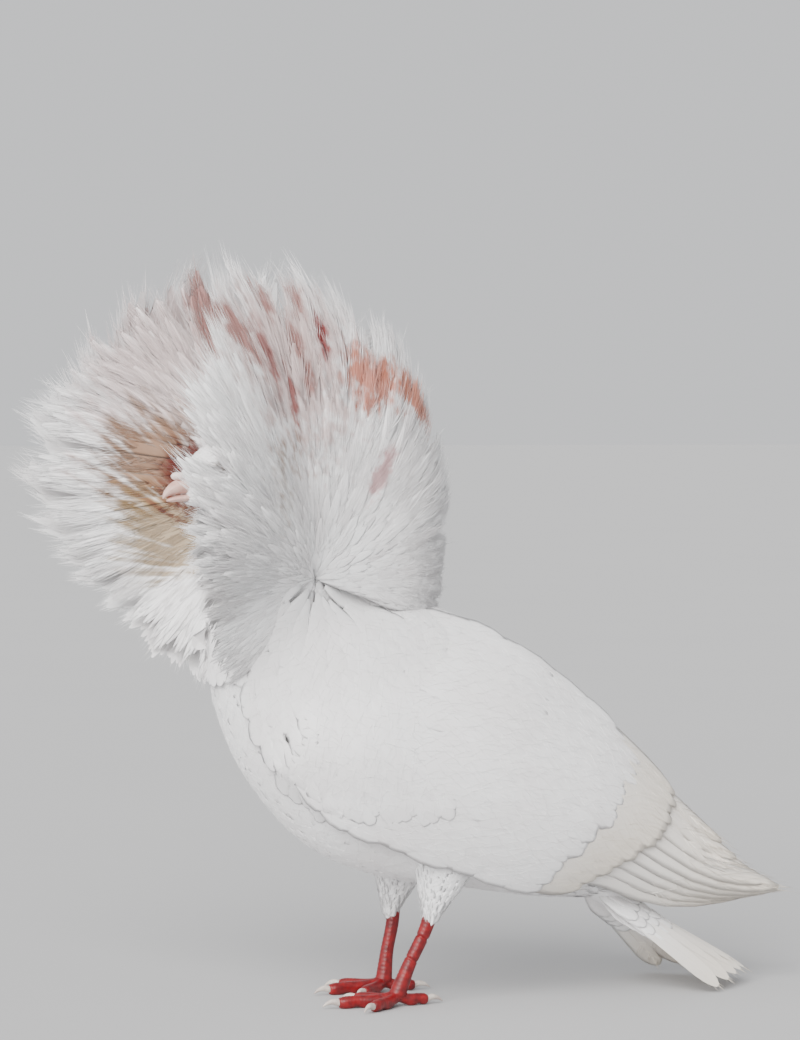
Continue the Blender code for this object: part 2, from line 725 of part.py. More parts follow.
def funnel(name, group):
    """The hollow in front of the ruff's core where the head looks out."""
    rings = []
    for forward, up, radius in FUNNEL:
        ring = [(forward, radius * math.sin(t), up + radius * math.cos(t)) for t in turns_of(FUNNEL_SIDES)]
        rings.append(ruff_world(ring))
    return loft(name, rings, group)


def ruff_vanes(name, first, last, side, work):
    """All vanes of one node of the ruff: side -1 or 1, or 0 for both with the ridge between them."""
    rng = random.Random(f"{SEED} {abs(side)} {first}")
    start, end = first + NODE_MARGIN, last - NODE_MARGIN
    rows = ruff_tiers(ruff_shell, start, end, OUTER_TIERS, rng, -1)
    if side:
        rows += ruff_tiers(ruff_lining, start, min(end, LINING_END - NODE_MARGIN), LINING_TIERS, rng)
    vanes = []
    for way in (side,) if side else (-1, 1):
        vanes += [loft(f"{name}_vane", ruff_world(mirrored(rings, way)), work) for rings in rows]
    if not side:
        vanes += [loft(f"{name}_ridge", ruff_world(rings), work) for rings in ridge_vanes(first, last)]
    return vanes


def ruff_node(name, first, last, side, parts, work):
    """One node of the ruff: a core sector with its tiers of vanes, cut clear of its neighbours."""
    angles = np.linspace(first, last, 2 + int((last - first) / CORE_STEP))
    core = loft(name, [ruff_world(mirrored(core_ring(a, side != 0), side)) for a in angles], work)
    if side:
        boolean(core, [funnel(f"{name}_funnel", work)], "DIFFERENCE")
    boolean(core, ruff_vanes(name, first, last, side, work), "UNION")
    cuts = [
        sector_box(f"{name}_start", first, True, work),
        sector_box(f"{name}_end", last, False, work),
        loft(f"{name}_neck_cut", neck_rings(GAP), work),
        loft(f"{name}_head_cut", head_rings(GAP * 2), work),
        loft(f"{name}_torso_cut", torso_rings(GAP), work),
    ]
    if side:
        cuts.append(middle_box(f"{name}_middle", side, work))
    boolean(core, cuts, "DIFFERENCE")
    finish(core, "ruff", parts)


def mirrored(points, side):
    """Points of the +Y side, turned over for the -Y side."""
    return np.asarray(points) * np.array((1, -1 if side < 0 else 1, 1))


def ridge_vanes(first, last):
    """Short vanes along the ridge of the mane, where the two sides meet."""
    rings = []
    for angle in np.arange(first + RIDGE_MARGINS[0], last - RIDGE_MARGINS[1], RIDGE_STEP):
        turn = math.radians(angle)
        distance = rim_at(angle)[0]
        out = np.array((math.cos(turn), 0, math.sin(turn)))
        tangent = np.array((-math.sin(turn), 0, math.cos(turn)))
        vane = []
        for t, width in SHORT_VANE:
            point = np.array((0, 0, ROSE_HEIGHT)) + out * distance * (RIDGE_START + RIDGE_LENGTH * t)
            thick = np.array((0, VANE_THICKNESS / 2, 0))
            vane.append(flat_ring(point, tangent * width * RIDGE_HALF_WIDTH, thick))
        rings.append(np.array(vane))
    return rings


def build_ruff(parts, work):
    """Hood, mane and chain."""
    for side, word in ((-1, "left"), (1, "right")):
        ruff_node(f"chain_{word}", CHAIN_START, HOOD_START, side, parts, work)
        ruff_node(f"hood_{word}", HOOD_START, MANE_START, side, parts, work)
    ruff_node("mane", MANE_START, MANE_END, 0, parts, work)


def wing_surface(down, along):
    """A point of the +Y wing: along it from wrist to tip, and down it from upper to lower edge."""
    row = WING_CURVE(along)
    top = np.array((row[0], 0, row[1]))
    low = np.array((row[2], 0, row[3]))
    point = top + (low - top) * down
    point[1] = row[4] * (1 - WING_BULGE * (down - WING_WIDEST) ** 2)
    return point


def wing_curve():
    """The wing's table as a smooth function of the place along it."""
    curve = smooth_rows(WING, WING_CURVE_STEPS)
    places = np.linspace(0, 1, WING_CURVE_STEPS)
    return lambda along: np.array([np.interp(along, places, curve[:, k]) for k in range(5)])


WING_CURVE = wing_curve()


def wing_vanes(rng):
    """Rings of the +Y wing's primaries, secondaries and two rows of coverts."""
    vanes = []
    for row in WING_ROWS:
        (root_a, root_b), (tip_a, tip_b) = row["root"], row["tip"]
        for i in range(row["count"]):
            f = i / (row["count"] - 1)
            root = np.array(root_a) * (1 - f) + np.array(root_b) * f
            tip = np.array(tip_a) * (1 - f) + np.array(tip_b) * f
            tip[0] += row["bow"] * math.sin(math.pi * f) + rng.uniform(-WING_JITTER, WING_JITTER)
            spacing = [(b[1] - a[1]) / (row["count"] - 1) for a, b in (row["root"], row["tip"])]
            end = (tip[1], min(tip[0], WING_TIP_LIMIT))
            vanes.append(vane_rings(wing_surface, (root[1], root[0]), end, row, (0.02, 0.01), spacing, -1))
    return vanes


def wing_core_rings():
    """Rings of the wing's fleshy core, a rounded plate from the wrist back."""
    rings = []
    for i in range(WING_CORE_ROWS):
        f = i / (WING_CORE_ROWS - 1)
        along = WING_CORE_START + f * WING_CORE_END
        depth = WING_CORE_DEPTH * (0.35 + 0.65 * math.sin(math.pi * (0.12 + 0.82 * f)))
        rounding = 1 - math.sin(math.pi / 2 * min(1.0, 0.16 + f * 1.6))
        inset = WING_CORE_ROUNDING * rounding + WING_CORE_MARGIN
        downs = np.linspace(inset, 1 - inset, WING_CORE_PLACES)
        outer, inner = [], []
        for down in downs:
            point, _, _, normal = surface_frame(wing_surface, down, along, 0.02, 0.01)
            round_off = math.sqrt(max(0.0, 1 - ((down - 0.5) / (0.5 - inset)) ** 2 * 0.96))
            outer.append(point + normal * WING_CORE_LIFT * round_off)
            inner.append(point - normal * depth * round_off)
        rings.append(outer + inner[::-1])
    return rings


def build_wings(parts, work):
    """Both folded wings, each a core with its rows of overlapping vanes."""
    for side, name in ((-1, "wing_left"), (1, "wing_right")):
        rng = random.Random(SEED)
        wing = loft(name, mirrored(wing_core_rings(), side), work)
        vanes = [loft(f"{name}_vane", mirrored(rings, side), work) for rings in wing_vanes(rng)]
        boolean(wing, vanes, "UNION")
        cuts = [
            loft(f"{name}_torso_cut", torso_rings(GAP), work),
            loft(f"{name}_tail_cut", tail_core_rings(GAP), work),
        ]
        boolean(wing, cuts, "DIFFERENCE")
        finish(wing, "flight", parts)


def tail_surface(across, along):
    """A point of the tail fan: along from root to tip, across from -1 to 1."""
    root = np.array((TAIL_ROOT[0], 0, TAIL_ROOT[1]))
    tip = np.array((TAIL_TIP[0], 0, TAIL_TIP[1]))
    point = root + (tip - root) * along * (1 - TAIL_SHORTER * across ** 2)
    point[1] = across * (TAIL_HALF_WIDTH[0] + (TAIL_HALF_WIDTH[1] - TAIL_HALF_WIDTH[0]) * along)
    point[2] -= TAIL_ARCH * across ** 2 * (0.4 + 0.6 * along)
    return point


def tail_core_rings(grow=0.0):
    """Rings of the tail's core, from the rump's end face to a thin blade inside the fan."""
    rump = np.array(torso_rings()[-1])[::2]
    centre = rump.mean(axis=0)
    rings = []
    for i, (along, share) in enumerate(TAIL_CORE):
        goal = np.array([tail_surface(0.0, along)]) - np.array((0, 0, TAIL_CORE_SINK))
        middle = centre + (goal - centre) * (1 - share) if i else centre
        scale = share * TAIL_CORE_SIZE
        ring = middle + (rump - centre) * np.array((scale, max(scale, TAIL_CORE_LEAST_WIDTH), scale))
        away = RUMP_WAY * (GAP - grow if i == 0 else 0.0)
        outwards = (rump - centre) / np.linalg.norm(rump - centre, axis=1)[:, None]
        rings.append(ring + away + grow * outwards)
    return rings


def build_tail(parts, work):
    """Tail feathers in an arched fan on a short core, with a row of coverts over their roots."""
    tail = loft("tail", tail_core_rings(), work)
    vanes = []
    for row in TAIL_ROWS:
        apart = 2 * TAIL_SPREAD / row["count"]
        for i in range(row["count"] // 2):
            across = (i + 0.5) * apart
            lifted = dict(row)
            lifted["lift"] = row["lift"] - TAIL_STEP_DOWN * i
            start = (across * TAIL_ROOT_SPREAD, row["root"])
            spacing = (apart * TAIL_ROOT_SPREAD, apart)
            rings = vane_rings(upright_tail, start, (across, row["tip"]), lifted, (0.02, 0.01), spacing, -1)
            for side in (-1, 1):
                vanes.append(loft("tail_vane", np.array([turn_up(ring, side) for ring in rings]), work))
    boolean(tail, vanes, "UNION")
    finish(tail, "flight", parts)


def upright_tail(across, along):
    """The tail's surface with height and width exchanged, so that its normal points to +Y."""
    x, y, z = tail_surface(across, along)
    return np.array((x, z, y))


def turn_up(points, side):
    """Points of the exchanged tail back in their place, on one side."""
    points = np.asarray(points)
    return np.stack((points[:, 0], side * points[:, 2], points[:, 1]), axis=-1)


def tube_rings(points, radii, sides):
    """Rings of a round tube through points in the part's frame."""
    points = np.asarray(points, dtype=float)
    rings = []
    for i, point in enumerate(points):
        ahead = points[min(i + 1, len(points) - 1)] - points[max(i - 1, 0)]
        ahead /= np.linalg.norm(ahead)
        side = np.cross(ahead, (0, 0, 1)) if abs(ahead[2]) < 0.9 else np.cross(ahead, (1, 0, 0))
        side /= np.linalg.norm(side)
        up = np.cross(side, ahead)
        rings.append([point + radii[i] * (side * math.cos(t) + up * math.sin(t)) for t in turns_of(sides)])
    return rings


def toe_points(foot, turn, length):
    """Middle line of one toe on the floor, arched a little between its joints."""
    way = np.array((-math.cos(turn), math.sin(turn), 0))
    base = np.array((foot[0], foot[1], TOE_HEIGHT))
    return [base + way * length * share + np.array((0, 0, rise)) for share, rise, _ in TOE_ARCH], way


def floor_box(name, group):
    """A cutter box under the floor."""
    item = cutter_cube(name, group)
    item.data.transform(Matrix.Translation((0, 0, -CUTTER_SIZE / 2)))
    return item


def build_thigh(word, top, hock, parts, work):
    """Feathered thigh from the flank down to the hock."""
    rings = []
    for share, half_long, half_wide in smooth_rows(THIGH_ROWS, THIGH_COUNT):
        middle = top + (hock - top) * share
        wide = np.array((0, half_wide, 0))
        long = np.array((half_long, 0, 0))
        rings.append([middle + long * math.cos(t) + wide * math.sin(t) for t in turns_of(THIGH_SIDES)])
    thigh = loft(f"thigh_{word}", rings, work)
    boolean(thigh, [loft("thigh_torso_cut", torso_rings(GAP), work)], "DIFFERENCE")
    finish(thigh, "plumage", parts)


def shank_rings(hock, foot):
    """Rings of the bare shank, with a level top just under the thigh."""
    start = hock + np.array((0, 0, -GAP))
    upper = (start * 2 + foot) / 3 + np.array((SHANK_BEND, 0, 0))
    lower = (start + foot * 2) / 3
    radii = (SHANK_RADIUS[0], SHANK_RADIUS[1], SHANK_RADIUS[1], SHANK_RADIUS[2])
    rings = np.array(tube_rings([start, upper, lower, foot], radii, SHANK_SIDES))
    rings[0][:, 2] = start[2]
    return rings


def claw_rings(tip, way):
    """Rings of a claw that starts a gap in front of the toe's tip and curves down."""
    path = [tip + way * (GAP + CLAW_LENGTH * share) + np.array((0, 0, rise)) for share, rise, _ in CLAW_CURVE]
    return tube_rings(path, [CLAW_RADIUS * share for _, _, share in CLAW_CURVE], CLAW_SIDES)


def build_leg(word, leg, parts, work):
    """Feathered thigh, bare shank with its four toes, and a claw on each toe."""
    side = leg["side"]
    top = np.array(leg["thigh_top"]) * np.array((1, side, 1))
    hock = np.array(leg["hock"]) * np.array((1, side, 1))
    foot = np.array((leg["foot"][0], side * leg["foot"][1], TOE_HEIGHT + FOOT_TOP))
    build_thigh(word, top, hock, parts, work)
    shank = loft(f"foot_{word}", shank_rings(hock, foot), work)
    toes = []
    for name, turn, length, radius in TOES:
        points, way = toe_points(foot, math.radians(turn) * -side, length)
        radii = [radius * share for _, _, share in TOE_ARCH]
        toes.append(loft(f"toe_{name}", tube_rings(points, radii, TOE_SIDES), work))
        finish(loft(f"claw_{word}_{name}", claw_rings(points[-1], way), work), "claw", parts)
    boolean(shank, toes, "UNION")
    boolean(shank, [floor_box("foot_floor_cut", work)], "DIFFERENCE")
    finish(shank, "leg", parts)


def main():
    """Build every node."""
    clear_scene()
    parts = collection(OBJECT_NAME)
    work = collection("work")
    finish(loft("torso", torso_rings(), work), "plumage", parts)
    build_neck(parts, work)
    build_head(parts, work)
    build_bill(parts, work)
    build_ruff(parts, work)
    build_wings(parts, work)
    build_tail(parts, work)
    for word, leg in LEGS.items():
        build_leg(word, leg, parts, work)
    for item in parts.objects:
        item.data.transform(Matrix.Translation((-OUTLINE_MIDDLE[0], -OUTLINE_MIDDLE[1], 0.0)))


main()
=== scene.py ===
import math

import bpy
import numpy as np
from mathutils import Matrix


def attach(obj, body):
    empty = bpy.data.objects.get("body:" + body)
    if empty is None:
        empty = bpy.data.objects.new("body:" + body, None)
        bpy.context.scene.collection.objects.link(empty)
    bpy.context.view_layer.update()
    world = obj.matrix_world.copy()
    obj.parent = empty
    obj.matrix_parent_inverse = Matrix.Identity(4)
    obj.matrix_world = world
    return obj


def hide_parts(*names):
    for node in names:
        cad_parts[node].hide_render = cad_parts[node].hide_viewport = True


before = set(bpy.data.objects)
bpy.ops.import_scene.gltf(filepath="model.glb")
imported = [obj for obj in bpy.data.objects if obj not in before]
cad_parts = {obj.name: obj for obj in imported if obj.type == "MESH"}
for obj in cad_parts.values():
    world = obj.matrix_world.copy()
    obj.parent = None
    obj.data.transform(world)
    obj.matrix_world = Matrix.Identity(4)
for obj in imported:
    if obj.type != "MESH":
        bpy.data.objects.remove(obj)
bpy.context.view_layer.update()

# The looks of a jacobin pigeon that stands still: one skin under a coat of joined feathers.
# Lengths are in metres. The bird faces -X, its left side is -Y, and the floor is at height 0.
SEED = 23
# The part's source moves its own origin by this much, so every place below is moved as well
MIDDLE = np.array((0.0097, -0.0136, 0.0))
SIDES = ((-1, "left"), (1, "right"))

# Ruff: where the rose is, how far the head is turned, and the rim seen round the rose as angle
# in degrees (0 forward, 90 up), distance, half width at the rim and widest half width
NECK_PLACE = (-0.066, 0.0)
RUFF_YAW = math.radians(10)
ROSE_HEIGHT = 0.213
ROSE_HALF_WIDTH = 0.041
SHELL_ROUNDNESS = 2.4
SHELL_CLOSING = 0.80
RUFF_RIM = (
    (-64, 0.062, 0.006, 0.043), (-32, 0.066, 0.036, 0.047), (-6, 0.074, 0.060, 0.062),
    (18, 0.097, 0.084, 0.084), (36, 0.114, 0.092, 0.092), (53, 0.127, 0.081, 0.088),
    (66, 0.144, 0.050, 0.080), (80, 0.159, 0.009, 0.071), (98, 0.149, 0.001, 0.068),
    (120, 0.132, 0.001, 0.066), (148, 0.108, 0.002, 0.064), (172, 0.095, 0.004, 0.060),
    (198, 0.088, 0.010, 0.052),
)
CHAIN_START = -60
HOOD_START = 52
MANE_START = 116
MANE_END = 196
# Where the lining starts round the head, and the last angle that it reaches
LINING_FORWARD = 0.006
LINING_RADIUS = 0.018
LINING_HEIGHT = 0.259
LINING_END = 88

# Torso rows: back x and z, belly x and z, half width
TORSO = (
    (-0.031, 0.207, -0.099, 0.178, 0.039), (-0.004, 0.204, -0.095, 0.148, 0.048),
    (0.026, 0.193, -0.079, 0.112, 0.053), (0.056, 0.173, -0.049, 0.079, 0.053),
    (0.086, 0.149, -0.011, 0.062, 0.050), (0.109, 0.122, 0.032, 0.055, 0.043),
    (0.123, 0.100, 0.070, 0.049, 0.032), (0.128, 0.085, 0.098, 0.047, 0.022),
)
# Neck root rows: height, x, half length, half width. Neck stem rows: forward, up, radius
NECK_ROOT = (
    (0.179, -0.0650, 0.0345, 0.0400), (0.198, -0.0645, 0.0340, 0.0415), (0.222, -0.0640, 0.0300, 0.0385),
)
NECK_LEAN = 0.28
NECK_STEM = (
    (-0.004, 0.196, 0.021), (0.000, 0.216, 0.0185), (0.007, 0.235, 0.0155), (0.016, 0.250, 0.0135),
    (0.024, 0.260, 0.012),
)
# Head and bill rows, in the ruff's frame: forward, height, half height, half width
HEAD = (
    (0.0085, 0.2620, 0.0060, 0.0050), (0.0120, 0.2622, 0.0105, 0.0088), (0.0185, 0.2628, 0.0146, 0.0118),
    (0.0265, 0.2632, 0.0164, 0.0128), (0.0345, 0.2628, 0.0160, 0.0124), (0.0415, 0.2612, 0.0136, 0.0106),
    (0.0470, 0.2588, 0.0102, 0.0080), (0.0500, 0.2570, 0.0076, 0.0060),
)
BILL_UPPER = (
    (0.0488, 0.2580, 0.0038, 0.0048), (0.0520, 0.2578, 0.0038, 0.0044), (0.0548, 0.2571, 0.0034, 0.0037),
    (0.0575, 0.2560, 0.0028, 0.0028), (0.0598, 0.2545, 0.0021, 0.0018), (0.0611, 0.2531, 0.0013, 0.0010),
    (0.0614, 0.2521, 0.0005, 0.0004),
)
BILL_LOWER = (
    (0.0488, 0.2520, 0.0018, 0.0042), (0.0520, 0.2519, 0.0017, 0.0037), (0.0548, 0.2516, 0.0015, 0.0031),
    (0.0575, 0.2511, 0.0011, 0.0021), (0.0592, 0.2508, 0.0006, 0.0011),
)
EYE_PLACE = (0.0335, 0.0094, 0.2655)
EYE_RADIUS = 0.0046
CERE_PLACE = (0.0528, 0.0019, 0.2626)
CERE_RADII = (0.0031, 0.0027, 0.0020)

# Folded wing rows: upper edge x and z, lower edge x and z, half width of the bird there
WING = (
    (-0.058, 0.172, -0.074, 0.120, 0.050), (-0.008, 0.196, -0.044, 0.093, 0.060),
    (0.047, 0.182, 0.004, 0.073, 0.062), (0.094, 0.148, 0.050, 0.058, 0.054),
    (0.131, 0.115, 0.096, 0.051, 0.040), (0.167, 0.081, 0.142, 0.041, 0.027),
    (0.212, 0.053, 0.208, 0.044, 0.015),
)
WING_BULGE = 1.75
WING_WIDEST = 0.60

# Tail: root and tip of its middle line, half widths of the fan, drop and shortening at its sides
TAIL_ROOT = (0.1085, 0.0535)
TAIL_TIP = (0.1870, 0.0100)
TAIL_HALF_WIDTH = (0.014, 0.041)
TAIL_ARCH = 0.0280
TAIL_SHORTER = 0.46
TAIL_FEATHERS = 12

# Legs: top of the thigh, hock and foot, with y counted outwards; toes as name, turn in degrees,
# length and radius
LEGS = {
    "left": ((0.022, 0.027, 0.092), (0.009, 0.026, 0.050), (-0.010, 0.024)),
    "right": ((0.018, 0.027, 0.092), (0.006, 0.026, 0.048), (0.000, 0.024)),
}
THIGH = ((0.0, 0.0230, 0.0180), (0.35, 0.0195, 0.0155), (0.75, 0.0125, 0.0110), (1.0, 0.0070, 0.0066))
SHANK_RADII = (0.0040, 0.0035, 0.0035, 0.0044)
TOES = (("middle", 4, 0.030, 0.0037), ("inner", 44, 0.023, 0.0034), ("outer", -40, 0.024, 0.0034),
        ("hind", 176, 0.016, 0.0033))
TOE_HEIGHT = 0.0028
CLAW_LENGTH = 0.0085
CLAW_RADIUS = 0.0016
# Length of a scale on shank and toes, and how far it stands out
SHANK_PLATE = 0.0021
TOE_PLATE = 0.0017
PLATE_HEIGHT = 0.00030
UP = np.array((0, 0, 1.0))

# Coat: how far the skin lies under the solids, on the body and on the head, and the size of a
# feather's patch on the bake map
COAT_DEPTH = 0.0016
HEAD_COAT_DEPTH = 0.0005
PATCH = 0.003
SKIN_VOXEL = 0.0016
LEG_VOXEL = 0.0006
# Places along a feather at which its middle line is known; it is known a little past its tip
STATIONS = np.linspace(0, 1.2, 17)


# Small tools for arrays of points

def unit(vectors):
    """Vectors divided by their own lengths."""
    return vectors / np.maximum(np.linalg.norm(vectors, axis=-1, keepdims=True), 1e-12)


def read_rows(rows, place):
    """A smooth curve through rows of numbers, read at places counted in rows.

    Between two rows it is the Catmull-Rom cubic of the four rows around; past an end it runs straight on.
    """
    table = np.array(rows, dtype=float)
    padded = np.vstack((2 * table[0] - table[1], table, 2 * table[-1] - table[-2]))
    place = np.asarray(place, dtype=float)
    inside = np.clip(place, 0, len(table) - 1)
    cell = np.minimum(inside.astype(int), len(table) - 2)
    t = (inside - cell)[..., None]
    a, b, c, d = (padded[cell + k] for k in range(4))
    value = 0.5 * (2 * b + (c - a) * t + (2 * a - 5 * b + 4 * c - d) * t ** 2
                   + (3 * b - a - 3 * c + d) * t ** 3)
    past = (place - inside)[..., None]
    return value + past * np.where(past > 0, table[-1] - table[-2], table[1] - table[0])


def soft_step(value, start, end):
    """0 before start, 1 after end, and the cubic 3t^2 - 2t^3 between them."""
    t = np.clip((value - start) / (end - start), 0, 1)
    return t * t * (3 - 2 * t)


def moved(x, y, z):
    """Points of the source's own frame in the part's frame."""
    return np.stack(np.broadcast_arrays(x, y, z), axis=-1) - MIDDLE


def ruff_world(forward, across, up):
    """Points of the ruff's frame: turned by its yaw about the neck, with forward along -X."""
    cosine, sine = math.cos(RUFF_YAW), math.sin(RUFF_YAW)
    return moved(NECK_PLACE[0] - cosine * forward - sine * across,
                 NECK_PLACE[1] - sine * forward + cosine * across, up)


# Surfaces that the feathers lie on, each a function of two parameters

RIM_CURVE = read_rows(RUFF_RIM, np.linspace(0, len(RUFF_RIM) - 1, 8 * len(RUFF_RIM)))


def ruff_parts(angle, out):
    """Forward, across and up of the ruff's shell.

    It leaves the rose straight, across grows to the widest half width, and closes to the rim as
    (1 - out^2.4)^0.8.
    """
    distance, rim, widest = (np.interp(angle, RIM_CURVE[:, 0], RIM_CURVE[:, k]) for k in (1, 2, 3))
    turn = np.radians(angle)
    out = np.maximum(out, 0.0)
    across = rim + (widest - rim) * np.maximum(1 - out ** SHELL_ROUNDNESS, 0.0) ** SHELL_CLOSING
    across = across - (widest - ROSE_HALF_WIDTH) * np.maximum(0.0, 1 - out) ** 2
    return out * distance * np.cos(turn), across, ROSE_HEIGHT + out * distance * np.sin(turn)


def shell_surface(side):
    """The ruff's outer shell on one side, by angle in degrees and reach from rose to rim."""
    def surface(angle, out):
        forward, across, up = ruff_parts(angle, out)
        return ruff_world(forward, side * across, up)
    return surface


def lining_surface(side):
    """The ruff's inner side: straight from a ring round the head to the shell's rim."""
    def surface(angle, reach):
        forward, across, up = ruff_parts(angle, 1.0)
        turn = np.arctan2(up - LINING_HEIGHT, across)
        ring_across = LINING_RADIUS * np.cos(turn)
        ring_up = LINING_HEIGHT + LINING_RADIUS * np.sin(turn)
        return ruff_world(LINING_FORWARD + (forward - LINING_FORWARD) * reach,
                          side * (ring_across + (across - ring_across) * reach),
                          ring_up + (up - ring_up) * reach)
    return surface


def torso_surface(turn, along):
    """The torso, by turns round it (0 the back, a quarter the +Y side) and share of its length.

    Each ring is an ellipse between its back point and its belly point.
    """
    row = read_rows(TORSO, along * (len(TORSO) - 1))
    angle = 2 * math.pi * turn
    middle_x, middle_z = (row[..., 0] + row[..., 2]) / 2, (row[..., 1] + row[..., 3]) / 2
    half_x, half_z = (row[..., 0] - row[..., 2]) / 2, (row[..., 1] - row[..., 3]) / 2
    return moved(middle_x + half_x * np.cos(angle), row[..., 4] * np.sin(angle),
                 middle_z + half_z * np.cos(angle))


def neck_surface(turn, along):
    """The neck's feathered root, read from its top down: leaning ellipses."""
    row = read_rows(NECK_ROOT, (1 - along) * (len(NECK_ROOT) - 1))
    angle = 2 * math.pi * turn
    lean = NECK_LEAN * row[..., 2] * np.cos(angle)
    return moved(row[..., 1] + row[..., 2] * np.cos(angle), row[..., 3] * np.sin(angle), row[..., 0] + lean)


def stem_surface(turn, along):
    """The slim neck inside the ruff, as rings square to its path, from the head down."""
    place = (1 - along) * (len(NECK_STEM) - 1)
    row = read_rows(NECK_STEM, place)
    ahead = unit((read_rows(NECK_STEM, place + 0.05) - read_rows(NECK_STEM, place - 0.05))[..., :2])
    angle = 2 * math.pi * turn
    offset = row[..., 2] * np.cos(angle)
    return ruff_world(row[..., 0] + ahead[..., 1] * offset, row[..., 2] * np.sin(angle),
                      row[..., 1] - ahead[..., 0] * offset)


def head_shape(rows):
    """Upright ellipses along a head or bill: 0 turns is its top, and it is read from front to back."""
    def surface(turn, along):
        row = read_rows(rows, (1 - along) * (len(rows) - 1))
        angle = 2 * math.pi * turn
        return ruff_world(row[..., 0], row[..., 3] * np.sin(angle), row[..., 1] + row[..., 2] * np.cos(angle))
    return surface


def thigh_surface(leg, side):
    """A thigh as level ellipses from the body down to the hock."""
    top, hock = (np.array(point) for point in LEGS[leg][:2])

    def surface(turn, along):
        row = read_rows(THIGH, along * (len(THIGH) - 1))
        angle = 2 * math.pi * turn
        middle = top + (hock - top) * row[..., :1]
        return moved(middle[..., 0] + row[..., 1] * np.cos(angle),
                     side * middle[..., 1] + row[..., 2] * np.sin(angle), middle[..., 2])
    return surface


def wing_surface(side):
    """The folded wing: along it from wrist to tip, and down it from the upper to the lower edge."""
    def surface(down, along):
        row = read_rows(WING, along * (len(WING) - 1))
        across = row[..., 4] * (1 - WING_BULGE * (down - WING_WIDEST) ** 2)
        return moved(row[..., 0] + (row[..., 2] - row[..., 0]) * down, side * across,
                     row[..., 1] + (row[..., 3] - row[..., 1]) * down)
    return surface


def tail_surface(across, along):
    """The tail's fan: along it from root to tip, across it from -1 to 1, dropping to its sides."""
    share = along * (1 - TAIL_SHORTER * across ** 2)
    x = TAIL_ROOT[0] + (TAIL_TIP[0] - TAIL_ROOT[0]) * share
    z = TAIL_ROOT[1] + (TAIL_TIP[1] - TAIL_ROOT[1]) * share
    half = TAIL_HALF_WIDTH[0] + (TAIL_HALF_WIDTH[1] - TAIL_HALF_WIDTH[0]) * along
    return moved(x, across * half, z - TAIL_ARCH * across ** 2 * (0.4 + 0.6 * along))


# Joined meshes

class Joined:
    """One joined mesh in the making: closed tubes of rings, with values kept at their points."""

    def __init__(self):
        self.points, self.loops, self.sizes, self.smooth, self.values = [], [], [], [], {}
        self.count = 0

    def add(self, rings, under=None, **values):
        """Adds tubes, as an array (tube, ring, point, xyz), with a flat cap at each end.

        Faces turn outwards: the tubes' signed volume is worked out, and the rings are read backwards where
        it is below zero. The faces beside the point of the ring named by under are shaded flat, so that
        the upper side of a thin vane is lit as one smooth sheet.
        """
        tubes, rows, sides = rings.shape[:3]
        middle = rings.mean(axis=2, keepdims=True)
        spoke = rings - middle
        turning = np.cross(spoke, np.roll(spoke, -1, axis=2)).sum(axis=2)
        if (turning[:, :-1] * np.diff(middle[:, :, 0], axis=1)).sum() < 0:
            rings = rings[:, :, ::-1]
            values = {key: value[:, :, ::-1] for key, value in values.items()}
            under = None if under is None else sides - 1 - under
        smooth = np.ones((tubes, rows - 1, sides), dtype=bool)
        if under is not None:
            smooth[:, :, [under - 1, under]] = False
        index = np.arange(tubes * rows * sides).reshape(tubes, rows, sides) + self.count
        after = np.roll(index, -1, axis=2)
        quads = np.stack((index[:, :-1], after[:, :-1], after[:, 1:], index[:, 1:]), axis=-1).reshape(-1, 4)
        caps = np.concatenate((index[:, 0, ::-1], index[:, -1]))
        self.points.append(rings.reshape(-1, 3))
        self.loops += [quads.ravel(), caps.ravel()]
        self.sizes += [np.full(len(quads), 4), np.full(len(caps), sides)]
        self.smooth += [smooth.ravel(), np.full(len(caps), under is None)]
        for key, value in values.items():
            self.values.setdefault(key, []).append(value.reshape(tubes * rows * sides, -1))
        self.count += tubes * rows * sides

    def mesh(self, name):
        """The Blender mesh: its points and faces, the values as attributes, and uv as the map OFBake."""
        points, loops, sizes = (np.concatenate(part) for part in (self.points, self.loops, self.sizes))
        mesh = bpy.data.meshes.new(name)
        mesh.vertices.add(len(points))
        mesh.vertices.foreach_set("co", points.ravel())
        mesh.loops.add(len(loops))
        mesh.loops.foreach_set("vertex_index", loops.astype(np.int32))
        mesh.polygons.add(len(sizes))
        mesh.polygons.foreach_set("loop_start", (np.cumsum(sizes) - sizes).astype(np.int32))
        mesh.update(calc_edges=True)
        mesh.polygons.foreach_set("use_smooth", np.concatenate(self.smooth))
        for key, parts in self.values.items():
            value = np.concatenate(parts)
            if key == "uv":
                layer = mesh.uv_layers.new(name="OFBake")
                layer.data.foreach_set("uv", value[loops].ravel())
            elif value.shape[1] == 1:
                mesh.attributes.new(key, "FLOAT", "POINT").data.foreach_set("value", value.ravel())
            else:
                mesh.attributes.new(key, "FLOAT_VECTOR", "POINT").data.foreach_set("vector", value.ravel())
        return mesh


def show(mesh, name, material, nodes=()):
    """Puts a mesh or a Joined in the scene as a piece that rides on the bird and may replace nodes."""
    mesh = mesh.mesh(name) if isinstance(mesh, Joined) else mesh
    item = bpy.data.objects.new(name, mesh)
    bpy.context.scene.collection.objects.link(item)
    if not mesh.materials:
        mesh.materials.append(material)
    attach(item, "root")
    if nodes:
        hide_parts(*nodes)
    return item


# Feathers

# How far the tips of smooth feathers bend inwards, against the feather under them
SINK = -0.0005
# Length on which the lines of a loose barb's shading are counted
BARB_LENGTH = 0.03


